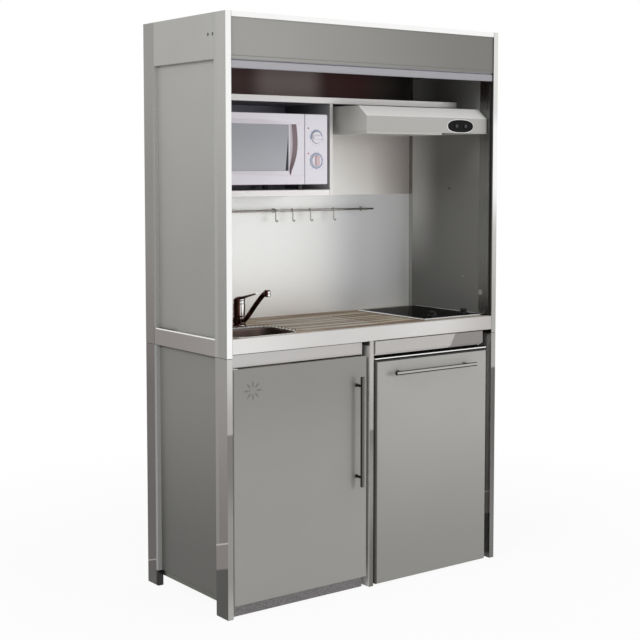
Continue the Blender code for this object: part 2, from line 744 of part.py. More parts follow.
def make_side_panels():
    """Sheet panels set back between the posts, and the shutter box's flush covers."""
    sheet = (LEFT + POST_WIDTH - PANEL_THICKNESS, LEFT + POST_WIDTH)
    flush = (LEFT, LEFT + POST_WIDTH)
    depth = (FRONT + POST_DEPTH + GAP, BACK - POST_DEPTH - GAP)
    low = (FOOT_CLEARANCE + GAP, LOWER_HEIGHT)
    high = (LOWER_HEIGHT + MID_RAIL_HEIGHT + 2 * GAP, BOX_BOTTOM - GAP)
    top = (BOX_BOTTOM, HEIGHT)
    for side, turn in SIDES:
        block(f"lower_side_panel_{side}", turn(sheet), depth, low, PANEL_GREY)
        block(f"upper_side_panel_{side}", turn(sheet), depth, high, PANEL_GREY)
        cover = block(f"shutter_box_side_{side}", turn(flush), depth, top, PANEL_GREY, POST_EDGE)
        hollow = (flush[0] + SKIN, flush[1] + OVERRUN)
        cut(
            cover,
            block(
                f"box_hollow_{side}", turn(hollow),
                (depth[0] + SKIN, depth[1] - SKIN), (top[0] + SKIN, top[1] - SKIN),
            ),
            block(
                f"cassette_notch_{side}", turn((POCKET, hollow[1])),
                (depth[0] - OVERRUN, behind(CASSETTE_DEPTH) + GAP), (top[0] + SKIN, UNDER_TOP),
            ),
        )


def make_middle():
    """The centre post and the partition between cupboard and refrigerator."""
    left = across(CENTRE_POST_LEFT)
    right = left + CENTRE_POST_WIDTH
    middle = (left + right) / 2
    top = WORKTOP_BOTTOM - GAP
    block(
        "centre_post", (left, right), (FRONT, FRONT + CENTRE_POST_DEPTH), (0, top),
        STAINLESS, POST_EDGE,
    )
    block(
        "partition",
        (middle - PARTITION_THICKNESS / 2, middle + PARTITION_THICKNESS / 2),
        (FRONT + CENTRE_POST_DEPTH + GAP, INNER_BACK), (FOOT_CLEARANCE, top), PANEL_GREY,
    )


def make_backs():
    """The three sheets of the rear wall, the lowest one slotted behind the refrigerator."""
    x = (INNER_LEFT, INNER_RIGHT)
    y = (WALL_FACE, WALL_FACE + BACK_THICKNESS)
    lower = block("lower_back_panel", x, y, (FOOT_CLEARANCE, LOWER_HEIGHT - GAP), PANEL_GREY)
    block("backsplash", x, y, (LOWER_HEIGHT, SPLASH_TOP - GAP), STAINLESS)
    block("upper_back_panel", x, y, (SPLASH_TOP, UNDER_TOP - GAP), CREAM)
    case_middle = across(FRIDGE_CASE_LEFT + FRIDGE_CASE_WIDTH / 2)
    for column in (-1, 1):
        middle = case_middle + column * VENT_WIDTH
        for row in range(VENT_COUNT):
            low = VENT_FIRST + row * VENT_PITCH
            cut(lower, block(
                f"back_vent_{column}_{row}",
                (middle - VENT_WIDTH / 2, middle + VENT_WIDTH / 2),
                (y[0] - OVERRUN, y[1] + OVERRUN), (low, low + VENT_HEIGHT),
            ))


def make_base():
    """The cupboard's floor, its plinth and the rail under the worktop, with the door's pivots."""
    post_left = across(CENTRE_POST_LEFT)
    partition_left = post_left + (CENTRE_POST_WIDTH - PARTITION_THICKNESS) / 2
    post_back = FRONT + CENTRE_POST_DEPTH
    shelf_low = FOOT_CLEARANCE
    shelf = block(
        "base_shelf", (INNER_LEFT, partition_left - GAP), (behind(BASE_FRONT), INNER_BACK),
        (shelf_low, shelf_low + BASE_THICKNESS), SHELF_WHITE,
    )
    cut(shelf, block(
        "base_notch", (post_left - GAP, post_left + CENTRE_POST_WIDTH), (FRONT, post_back + GAP),
        (shelf_low - OVERRUN, shelf_low + BASE_THICKNESS + OVERRUN),
    ))
    x = (INNER_LEFT, INNER_LEFT + RAIL_LENGTH)
    y = (behind(FRONT_SETBACK), behind(FRONT_SETBACK + RAIL_THICKNESS))
    plinth = block("plinth_strip", x, y, (PLINTH_BOTTOM, PLINTH_TOP), SATIN_STEEL, POST_EDGE)
    apron = block(
        "apron_rail", x, y, (DOOR_TOP + PIVOT_PLATE + 2 * GAP, WORKTOP_BOTTOM - GAP), SATIN_STEEL,
        POST_EDGE,
    )
    apron_end = PIVOT_PLATE_WIDTH + POST_EDGE
    cut(apron, block(
        "apron_recess", (x[0] + apron_end, x[1] - apron_end), (y[0] + APRON_SHEET, y[1] + OVERRUN),
        (DOOR_TOP, WORKTOP_BOTTOM + OVERRUN),
    ))
    join(plinth, block(
        "plinth_web", (x[0] + PIVOT_PLATE_WIDTH + POST_EDGE, x[1] - POST_EDGE),
        ((y[0] + y[1] - PLINTH_WEB) / 2, (y[0] + y[1] + PLINTH_WEB) / 2),
        (PLINTH_TOP - WELD_LAP, shelf_low - GAP),
    ))
    plate_x = (INNER_LEFT, INNER_LEFT + PIVOT_PLATE_WIDTH)
    plate_y = (behind(POST_EDGE), behind(FRONT_SETBACK + RAIL_THICKNESS) - POST_EDGE)
    pin_x = across(DOOR_LEFT + DOOR_THICKNESS / 2)
    pin_y = behind(DOOR_THICKNESS / 2)
    low_plate = (DOOR_BOTTOM - GAP - PIVOT_PLATE, DOOR_BOTTOM - GAP)
    high_plate = (DOOR_TOP + GAP, DOOR_TOP + GAP + PIVOT_PLATE)
    for piece, level, side, lap in (
        (plinth, low_plate, 1, (PLINTH_TOP - POST_WIDTH, low_plate[1])),
        (apron, high_plate, -1, (high_plate[0], high_plate[1] + POST_WIDTH)),
    ):
        name = piece.name
        middle = level[0] + PIVOT_PLATE / 2 + side * PIVOT_LENGTH / 2
        join(
            piece,
            block(name + "_pivot_plate", plate_x, plate_y, level),
            block(
                name + "_pivot_tab", plate_x,
                (y[0] + POST_EDGE, plate_y[1]), lap,
            ),
            drum(name + "_pin", (pin_x, pin_y, middle), PIVOT_RADIUS, PIVOT_LENGTH,
                 sides=SMALL_SIDES),
        )


def bowl_outline(outset, height):
    corner = BOWL_CORNER + outset
    points = rounded_rectangle(BOWL_HALF_WIDTH + outset, BOWL_HALF_DEPTH + outset, corner)
    return [(x, y, height) for x, y in points]


def waste_outline(radius, height):
    points = rounded_rectangle(radius, radius, radius - GAP)
    return [(x, y, height) for x, y in points]


def make_worktop():
    """A folded steel top with a deep front band, open below, pressed and cut out."""
    x = (INNER_LEFT, INNER_RIGHT)
    y = (FRONT, INNER_BACK)
    z = (WORKTOP_BOTTOM, WORKTOP_TOP)
    top = block("worktop", x, y, z, STAINLESS, WORKTOP_EDGE)
    wall = WORKTOP_SHEET
    bowl = plate(
        "bowl_hole", (across(BOWL_X), behind(BOWL_Y), WORKTOP_TOP),
        rounded_rectangle(BOWL_HALF_WIDTH, BOWL_HALF_DEPTH, BOWL_CORNER),
        2 * OVERRUN, "Z", STAINLESS,
    )
    opening_left = across(HOB_LEFT + HOB_LIP - HOB_FIT)
    opening_right = across(HOB_LEFT + HOB_WIDTH - HOB_LIP + HOB_FIT)
    opening_front = behind(HOB_FRONT + HOB_LIP - HOB_FIT)
    opening_back = behind(HOB_FRONT + HOB_DEPTH - HOB_LIP + HOB_FIT)
    cut(
        top,
        block(
            "worktop_hollow", (x[0] + wall, x[1] - wall), (y[0] + wall, y[1] - wall),
            (z[0] - OVERRUN, z[1] - wall),
        ),
        bowl,
        block(
            "hob_hole", (opening_left, opening_right), (opening_front, opening_back),
            (z[1] - OVERRUN, z[1] + OVERRUN),
        ),
    )
    for n in range(DRAIN_COUNT):
        line = behind(DRAIN_FRONT + n * DRAIN_PITCH)
        cut(top, block(
            f"drain_groove_{n}",
            (across(DRAIN_LEFT), across(DRAIN_LEFT + DRAIN_LENGTH)),
            (line - DRAIN_WIDTH / 2, line + DRAIN_WIDTH / 2),
            (z[1] - DRAIN_DEPTH, z[1] + OVERRUN),
        ))


def make_sink():
    """A pressed bowl hung under the worktop, with its waste and bottle trap."""
    under = WORKTOP_TOP - WORKTOP_SHEET - GAP
    low = BOWL_FLOOR + BOWL_FALL
    inner = (
        bowl_outline(BOWL_FLANGE, under),
        bowl_outline(-BOWL_SHEET, under),
        bowl_outline(-BOWL_SHEET - BOWL_DRAFT, low + BOWL_FILLET),
        bowl_outline(-BOWL_SHEET - BOWL_DRAFT - BOWL_FILLET / 4, low + BOWL_FILLET / 3),
        bowl_outline(-BOWL_SHEET - BOWL_DRAFT - BOWL_FILLET, low),
        waste_outline(WASTE_HOLE, BOWL_FLOOR),
    )
    outer = (
        waste_outline(WASTE_HOLE, BOWL_FLOOR - BOWL_SHEET),
        bowl_outline(-BOWL_DRAFT - BOWL_FILLET, low - BOWL_SHEET),
        bowl_outline(-BOWL_DRAFT - BOWL_FILLET / 4, low + BOWL_FILLET / 3 - BOWL_SHEET),
        bowl_outline(-BOWL_DRAFT, low + BOWL_FILLET - BOWL_SHEET),
        bowl_outline(0, under - BOWL_SHEET),
        bowl_outline(BOWL_FLANGE, under - BOWL_SHEET),
    )
    loft("sink_bowl", (across(BOWL_X), behind(BOWL_Y), 0), inner + outer, STAINLESS)

    seat = BOWL_FLOOR + BOWL_FALL / 4
    nut_top = BOWL_FLOOR - BOWL_SHEET - GAP
    nut_low = nut_top - WASTE_NUT_HEIGHT
    shoulder = nut_low - TRAP_DROP
    bottle_low = shoulder - TRAP_SHOULDER - TRAP_BOTTLE_HEIGHT
    profile = (
        (0, seat + WASTE_FLANGE_HEIGHT / 2),
        (WASTE_HOLE / 2, seat + WASTE_FLANGE_HEIGHT / 2),
        (WASTE_FLANGE, seat + WASTE_FLANGE_HEIGHT),
        (WASTE_FLANGE, seat + GAP),
        (WASTE_HOLE - 2 * GAP, seat + GAP),
        (WASTE_HOLE - 2 * GAP, nut_top),
        (WASTE_NUT, nut_top),
        (WASTE_NUT, nut_low),
        (TRAP_PIPE, nut_low - WASTE_DROP),
        (TRAP_PIPE, shoulder),
        (TRAP_BOTTLE, shoulder - TRAP_SHOULDER),
        (TRAP_BOTTLE, bottle_low),
        (TRAP_BOTTLE - TRAP_SHOULDER, bottle_low - TRAP_SHOULDER),
        (0, bottle_low - TRAP_SHOULDER),
    )
    trap = turned("sink_trap", (across(BOWL_X), behind(BOWL_Y), 0), profile, WHITE_PLASTIC)
    start = behind(BOWL_Y + TRAP_BOTTLE / 2)
    join(trap, drum(
        "trap_outlet",
        (across(BOWL_X), (start + INNER_BACK) / 2, shoulder - TRAP_SHOULDER - TRAP_OUTLET_DROP),
        TRAP_PIPE, INNER_BACK - start, "Y", sides=SMALL_SIDES,
    ))


def make_tap():
    """A single lever tap: body, swinging spout, turning collar and lifting lever."""
    x = across(TAP_X)
    y = behind(TAP_Y)
    base = WORKTOP_TOP + GAP
    neck_low = base + TAP_FLANGE_HEIGHT
    neck_top = neck_low + TAP_NECK_HEIGHT
    barrel_top = neck_top + TAP_BARREL_HEIGHT
    turned("tap_body", (x, y, 0), (
        (0, barrel_top), (TAP_BARREL, barrel_top), (TAP_BARREL, neck_top), (TAP_NECK, neck_top),
        (TAP_NECK, neck_low), (TAP_FLANGE, neck_low), (TAP_FLANGE, base), (0, base),
    ), CHROME)

    ring_low = neck_low + GAP
    ring_top = neck_top - GAP
    ring_inner = TAP_NECK + GAP
    ring_outer = ring_inner + SPOUT_RING_WALL
    level = (ring_low + ring_top) / 2
    line = [
        (x + side * SPOUT_SWING, y - out * SPOUT_REACH, level + up * SPOUT_RISE)
        for side, out, up in zip(SPOUT_SIDE_SHARES, SPOUT_OUT_SHARES, SPOUT_UP_SHARES)
    ]
    tip = line[-1]
    spout = drum("tap_spout", (x, y, level), ring_outer, ring_top - ring_low, look=CHROME)
    join(
        spout,
        wire("spout_tube", line, SPOUT_RADIUS, CHROME, 3),
        drum(
            "spout_outlet", (tip[0], tip[1], tip[2] + SPOUT_RADIUS - AERATOR_HEIGHT / 2),
            AERATOR_RADIUS, AERATOR_HEIGHT, sides=24,
        ),
    )
    cut(spout, drum("spout_bore", (x, y, level), ring_inner, ring_top - ring_low + OVERRUN))
    hang(pivot("tap_spout_axis", (x, y, base)), spout)

    collar_low = barrel_top + GAP
    collar_top = collar_low + TAP_COLLAR_HEIGHT
    collar = drum(
        "tap_collar", (x, y, (collar_low + collar_top) / 2), TAP_COLLAR, TAP_COLLAR_HEIGHT,
        look=CHROME,
    )
    hang(pivot("tap_collar_axis", (x, y, collar_low)), collar)

    cap_low = collar_top + GAP
    cap = drum(
        "tap_lever", (x, y, cap_low + TAP_CAP_HEIGHT / 2), TAP_BARREL, TAP_CAP_HEIGHT,
        look=CHROME, edge=TAP_CAP_EDGE,
    )
    half = LEVER_WIDTH / 2
    root = cap_low + TAP_CAP_HEIGHT / 2 - LEVER_THICKNESS / 2
    outline = (
        (0, root), (-LEVER_REACH, root + LEVER_RISE),
        (-LEVER_REACH, root + LEVER_RISE + LEVER_THICKNESS), (0, root + LEVER_THICKNESS),
    )
    join(cap, plate("lever_arm", (x, y, 0), outline, 2 * half, "X", CHROME))
    hang(pivot("tap_lever_axis", (x, y + TAP_BARREL, cap_low)), cap)


def make_hob():
    """A glass plate in a chromed frame over a box let into the worktop, with two knobs."""
    x = (across(HOB_LEFT), across(HOB_LEFT + HOB_WIDTH))
    y = (behind(HOB_FRONT), behind(HOB_FRONT + HOB_DEPTH))
    base = WORKTOP_TOP + GAP
    top = base + HOB_PLATE
    frame = block("hob_frame", x, y, (base, top), CHROME, HOB_EDGE)
    join(frame, block(
        "hob_box", (x[0] + HOB_LIP, x[1] - HOB_LIP), (y[0] + HOB_LIP, y[1] - HOB_LIP),
        (top - HOB_BOX_DEPTH, top - HOB_GLASS - HOB_EDGE),
    ))
    inner_x = (x[0] + HOB_BORDER, x[1] - HOB_BORDER)
    inner_y = (y[0] + HOB_BORDER, y[1] - HOB_BORDER)
    cut(frame, block("glass_seat", inner_x, inner_y, (top - HOB_GLASS, top + OVERRUN)))
    block(
        "hob_glass", (inner_x[0] + GAP, inner_x[1] - GAP), (inner_y[0] + GAP, inner_y[1] - GAP),
        (top - HOB_GLASS + GAP, top), GLASS_BLACK,
    )
    for side, sign in (("left", -1), ("right", 1)):
        at_x = across(KNOB_MIDDLE + sign * KNOB_SPACING / 2)
        at_y = y[0] + KNOB_FRONT
        low = top + GAP
        knob = drum(
            f"hob_knob_{side}", (at_x, at_y, low + HOB_KNOB_SKIRT / 2), HOB_KNOB_RADIUS,
            HOB_KNOB_SKIRT, look=KNOB_BLACK,
        )
        join(knob, block(
            f"hob_grip_{side}",
            (at_x - HOB_KNOB_GRIP / 2, at_x + HOB_KNOB_GRIP / 2),
            (at_y - HOB_KNOB_RADIUS + HOB_EDGE, at_y + HOB_KNOB_RADIUS - HOB_EDGE),
            (low + HOB_KNOB_SKIRT / 2, low + HOB_KNOB_HEIGHT), KNOB_BLACK, HOB_EDGE,
        ))
        hang(pivot(f"hob_knob_{side}_axis", (at_x, at_y, low)), knob)


def make_shelves():
    """The long top shelf, the microwave's shelf and the upright between them."""
    y = (behind(SHELF_FRONT), INNER_BACK)
    divider = across(DIVIDER_LEFT)
    shelf_low = TOP_SHELF_TOP - SHELF_THICKNESS
    niche_low = NICHE_SHELF_TOP - SHELF_THICKNESS
    block(
        "top_shelf", (INNER_LEFT, INNER_RIGHT), y, (shelf_low, TOP_SHELF_TOP), SHELF_WHITE,
        SHELF_EDGE,
    )
    block(
        "microwave_shelf", (INNER_LEFT, divider - GAP), y, (niche_low, NICHE_SHELF_TOP),
        SHELF_WHITE, SHELF_EDGE,
    )
    block(
        "niche_divider", (divider, divider + DIVIDER_THICKNESS), y, (niche_low, shelf_low - GAP),
        SHELF_WHITE, SHELF_EDGE,
    )


def hook_line(x, y, z):
    """A hook over the rail: round its top, down in front and up again in a half ring."""
    ring = UTENSIL_RAIL_RADIUS + HOOK_WIRE - GAP
    line = [(x, y + ring, z - ring)]
    for n in range(HOOK_CURL_STEPS + 1):
        angle = math.pi * n / HOOK_CURL_STEPS
        line.append((x, y + ring * math.cos(angle), z + ring * math.sin(angle)))
    low = z - HOOK_DROP
    for n in range(HOOK_CURL_STEPS + 1):
        angle = math.pi * n / HOOK_CURL_STEPS
        line.append((
            x, y - ring - HOOK_BOWL / 2 * (1 - math.cos(angle)), low - HOOK_BOWL / 2 * math.sin(angle),
        ))
    return line


def make_utensil_rail():
    """A thin rail on three brackets under the microwave's shelf, with four hooks."""
    y = WALL_FACE - UTENSIL_RAIL_STANDOFF
    z = UTENSIL_RAIL_HEIGHT
    left = across(UTENSIL_RAIL_LEFT)
    right = left + UTENSIL_RAIL_LENGTH
    middle = (left + right) / 2
    rail = drum(
        "utensil_rail", (middle, y, z), UTENSIL_RAIL_RADIUS, UTENSIL_RAIL_LENGTH, "X", CHROME,
        SMALL_SIDES,
    )
    length = INNER_BACK - y
    for n, x in enumerate((left + BRACKET_INSET, middle, right - BRACKET_INSET)):
        join(rail, drum(
            f"rail_bracket_{n}", (x, y + length / 2, z), BRACKET_RADIUS, length, "Y",
            sides=SMALL_SIDES,
        ))
    for n, place_on in enumerate(HOOK_PLACES):
        join(rail, wire(f"rail_hook_{n}", hook_line(across(place_on), y, z), HOOK_WIRE, CHROME, 1))


def make_hood():
    """A visor hood of folded sheet, with its filter, switch plate and two buttons."""
    left = across(HOOD_LEFT)
    front = behind(HOOD_FRONT)
    face_top = HOOD_BOTTOM + HOOD_FACE
    slope_top = face_top + HOOD_SLOPE
    slope_back = front + HOOD_SLOPE_BACK
    outline = (
        (front, HOOD_BOTTOM), (front, face_top), (slope_back, slope_top),
        (INNER_BACK, slope_top), (INNER_BACK, HOOD_BOTTOM),
    )
    hood = plate(
        "hood_body", ((left + INNER_RIGHT) / 2, 0, 0), outline, INNER_RIGHT - left, "X", HOOD_GREY,
    )
    inside_x = (left + HOOD_SHEET, INNER_RIGHT - HOOD_SHEET)
    inside_y = (front + HOOD_SHEET, INNER_BACK - HOOD_SHEET)
    cut(
        hood,
        block("hood_hollow", inside_x, inside_y, (HOOD_BOTTOM - OVERRUN, face_top - HOOD_SHEET)),
        block(
            "hood_upper_hollow", inside_x, (slope_back + HOOD_SHEET, inside_y[1]),
            (HOOD_BOTTOM - OVERRUN, slope_top - HOOD_SHEET),
        ),
    )
    filter_low = HOOD_BOTTOM + FILTER_RECESS
    sheet = block(
        "hood_filter", (inside_x[0] + GAP, inside_x[1] - GAP), (inside_y[0] + GAP, inside_y[1] - GAP),
        (filter_low, filter_low + FILTER_THICKNESS), ALUMINIUM,
    )
    cut(sheet, block(
        "filter_recess",
        (inside_x[0] + FILTER_INSET, inside_x[1] - FILTER_INSET),
        (inside_y[0] + FILTER_INSET, inside_y[1] - FILTER_INSET),
        (filter_low - OVERRUN, filter_low + FILTER_THICKNESS / 2),
    ))

    plate_x = across(HOOD_PLATE_X)
    plate_z = HOOD_BOTTOM + HOOD_PLATE_RISE
    plate_y = front - GAP - HOOD_PLATE_THICKNESS / 2
    oval = [
        (
            HOOD_PLATE_WIDTH / 2 * math.cos(math.tau * n / ROUND_SIDES),
            HOOD_PLATE_HEIGHT / 2 * math.sin(math.tau * n / ROUND_SIDES),
        )
        for n in range(ROUND_SIDES)
    ]
    panel = plate(
        "hood_switch_plate", (plate_x, plate_y, plate_z), oval, HOOD_PLATE_THICKNESS, "Y",
        KNOB_BLACK,
    )
    button_front = front - GAP - HOOD_PLATE_THICKNESS - HOOD_BUTTON_PROUD
    for side, sign in (("left", -1), ("right", 1)):
        x = plate_x + sign * HOOD_BUTTON_SPACING / 2
        cut(panel, drum(
            f"button_hole_{side}", (x, plate_y, plate_z), HOOD_BUTTON_RADIUS + BUTTON_PLAY,
            HOOD_PLATE_THICKNESS + OVERRUN, "Y", sides=24,
        ))
        button = drum(
            f"hood_button_{side}", (x, button_front + HOOD_BUTTON_LENGTH / 2, plate_z),
            HOOD_BUTTON_RADIUS, HOOD_BUTTON_LENGTH, "Y", DARK_GREY, 24, HOOD_PLATE_THICKNESS / 8,
        )
        hang(pivot(f"hood_button_{side}_axis", (x, button_front, plate_z)), button)


def make_shutter_box():
    """Top rail, roof, front fascia and the folded cassette that carries the roller."""
    x = (INNER_LEFT, INNER_RIGHT)
    block(
        "top_rail", x, (FRONT, FRONT + POST_DEPTH), (UNDER_TOP, HEIGHT), STAINLESS, POST_EDGE,
    )
    roof = block(
        "roof_panel", x, (FRONT + POST_DEPTH + GAP, WALL_FACE + BACK_THICKNESS),
        (UNDER_TOP, HEIGHT), PANEL_GREY, POST_EDGE,
    )
    cut(roof, block(
        "roof_hollow", (x[0] + SKIN, x[1] - SKIN),
        (FRONT + POST_DEPTH + SKIN, WALL_FACE + BACK_THICKNESS - SKIN),
        (UNDER_TOP - OVERRUN, HEIGHT - SKIN),
    ))
    face = behind(FASCIA_SETBACK)
    block(
        "shutter_fascia", x, (face, face + FASCIA_THICKNESS), (BOX_BOTTOM, UNDER_TOP - GAP),
        DOOR_GREY,
    )
    top = UNDER_TOP - GAP
    back = behind(CASSETTE_DEPTH)
    end = -POCKET - GAP
    inside = (GUIDE_WEB - end, end - GUIDE_WEB)
    cassette = block(
        "shutter_cassette", (-end, end), (face + FASCIA_THICKNESS + GAP, back),
        (CASSETTE_BOTTOM, top), DARK_GREY,
    )
    coil = behind(CURTAIN_FRONT + CURTAIN_THICKNESS) + GAP + COIL_RADIUS
    cut(
        cassette,
        block(
            "cassette_hollow", inside, (FRONT, back - CASSETTE_SHEET),
            (CASSETTE_BOTTOM + CASSETTE_SHEET, top + OVERRUN),
        ),
        block(
            "cassette_mouth", inside, (FRONT, behind(CASSETTE_MOUTH)),
            (BOX_BOTTOM - OVERRUN, top + OVERRUN),
        ),
        drum(
            "journal_holes", (0, coil, ROLLER_HEIGHT), JOURNAL_RADIUS + JOURNAL_PLAY, WIDTH, "X",
            sides=SMALL_SIDES,
        ),
    )
    roller = drum(
        "shutter_roller", (0, coil, ROLLER_HEIGHT), COIL_RADIUS, 2 * (inside[1] - BAR_PLAY), "X",
        ALUMINIUM, 48,
    )
    join(roller, drum(
        "roller_journals", (0, coil, ROLLER_HEIGHT), JOURNAL_RADIUS, 2 * (end - GAP), "X",
        sides=SMALL_SIDES,
    ))
    hang(pivot("shutter_roller_axis", (0, coil, ROLLER_HEIGHT)), roller)


def make_shutter():
    """The two guides, the bottom bar that runs in them and the curtain above it."""
    body = (POCKET + GAP, LEFT + POST_WIDTH)
    z = (WORKTOP_TOP + GAP, CASSETTE_BOTTOM - 2 * GAP)
    for side, turn in SIDES:
        groove = (body[0] + GUIDE_WEB, body[1] + OVERRUN)
        cut(
            block(f"shutter_guide_{side}", turn(body), guide_span(GUIDE_WALL), z, DARK_GREY),
            block(f"guide_slot_{side}", turn(groove), guide_span(0), (z[0] - OVERRUN, z[1] + OVERRUN)),
        )
    bar_top = BOX_BOTTOM - BAR_DROP
    bar_z = (bar_top - BAR_HEIGHT, bar_top)
    inner = INNER_RIGHT - BAR_PLAY
    reach = -body[0] - GUIDE_WEB - BAR_PLAY
    curtain_y = (behind(CURTAIN_FRONT), behind(CURTAIN_FRONT + CURTAIN_THICKNESS))
    bar = block(
        "shutter_bottom_bar", (-inner, inner), (behind(BAR_FRONT), behind(BAR_FRONT + BAR_DEPTH)),
        bar_z, ALUMINIUM, BAR_EDGE,
    )
    join(bar, block(
        "bar_tongue", (-reach, reach), curtain_y, (bar_z[0] + BAR_EDGE, bar_z[1] - BAR_EDGE),
    ))
    hang(pivot("shutter_axis", (0, curtain_y[0], bar_z[1])), bar)
    block("shutter_curtain", (-reach, reach), curtain_y, (bar_top + GAP, ROLLER_HEIGHT), ALUMINIUM)


def bar_handle(name, x, y, z, upright, look):
    """A round bar on two feet, standing off the face at world Y."""
    bar_y = y - HANDLE_STANDOFF
    handle = drum(
        name, (x, bar_y, z), HANDLE_DIAMETER / 2, HANDLE_LENGTH, "Z" if upright else "X", look, 24,
        HANDLE_DIAMETER / 12,
    )
    for end, sign in (("low", -1), ("high", 1)):
        offset = sign * HANDLE_CENTRES / 2
        length = HANDLE_STANDOFF - GAP
        at = (
            x + (0 if upright else offset), bar_y + length / 2, z + (offset if upright else 0),
        )
        join(handle, drum(f"{name}_{end}", at, HANDLE_FOOT / 2, length, "Y", sides=24))
    return handle


def make_cupboard_door():
    """A folded steel door, open at the back, with its pivots' holes and a pressed rosette."""
    x = (across(DOOR_LEFT), across(DOOR_LEFT + DOOR_WIDTH))
    y = (FRONT, FRONT + DOOR_THICKNESS)
    z = (DOOR_BOTTOM, DOOR_TOP)
    axis = (x[0] + DOOR_THICKNESS / 2, FRONT + DOOR_THICKNESS / 2, DOOR_BOTTOM)
    door = block("cupboard_door", x, y, z, DOOR_GREY)
    shape = bmesh.new()
    shape.from_mesh(door.data)
    edges = list(shape.edges)
    uprights = [edge for edge in edges if abs(edge.verts[0].co.z - edge.verts[1].co.z) > DOOR_THICKNESS]
    hinge_side = [edge for edge in uprights if edge.verts[0].co.x < 0]
    bmesh.ops.bevel(
        shape, geom=hinge_side, offset=DOOR_HINGE_ROUND, segments=6, affect="EDGES", profile=0.5,
    )
    far = max(vert.co.x for vert in shape.verts)
    near = min(vert.co.y for vert in shape.verts)
    other = [
        edge for edge in shape.edges
        if all(abs(vert.co.x - far) < GAP and abs(vert.co.y - near) < GAP for vert in edge.verts)
    ]
    bmesh.ops.bevel(
        shape, geom=other, offset=DOOR_EDGE, segments=EDGE_STEPS, affect="EDGES", profile=0.5,
    )
    shape.to_mesh(door.data)
    shape.free()
    cut(
        door,
        block(
            "door_hollow", (x[0] + DOOR_STILE, x[1] - SKIN - DOOR_EDGE), (y[0] + SKIN, y[1] + OVERRUN),
            (z[0] + SKIN, z[1] - SKIN),
        ),
    )
    depth = PIVOT_LENGTH + SKIN
    for name, height in (("low", z[0] + depth / 2 - OVERRUN / 2), ("high", z[1] - depth / 2 + OVERRUN / 2)):
        cut(door, drum(
            f"pivot_hole_{name}", (axis[0], axis[1], height), PIVOT_RADIUS + PIVOT_PLAY,
            depth + OVERRUN, sides=SMALL_SIDES,
        ))
    slot_length = ROSETTE_RADIUS - ROSETTE_HUB
    for n in range(ROSETTE_COUNT):
        angle = math.tau * n / ROSETTE_COUNT
        reach = (ROSETTE_RADIUS + ROSETTE_HUB) / 2
        slot = block(
            f"rosette_slot_{n}", (-slot_length / 2, slot_length / 2), (-OVERRUN, ROSETTE_DEPTH),
            (-ROSETTE_SLOT / 2, ROSETTE_SLOT / 2),
        )
        slot.location += Vector((
            across(ROSETTE_X) + reach * math.cos(angle), FRONT,
            ROSETTE_HEIGHT + reach * math.sin(angle),
        ))
        slot.rotation_euler = (0, -angle, 0)
        cut(door, slot)
    handle = bar_handle(
        "cupboard_handle", across(CUPBOARD_HANDLE_X), FRONT, CUPBOARD_HANDLE_HEIGHT, True, STAINLESS,
    )
    hang(pivot("cupboard_door_axis", axis), door, handle)


def fridge_hinge():
    """World X and Y of the refrigerator door's hinge line."""
    right = across(FRIDGE_DOOR_LEFT + FRIDGE_DOOR_WIDTH)
    return right - FRIDGE_HINGE_INSET, behind(FRIDGE_HINGE_DEPTH - FRIDGE_DOOR_PROUD)


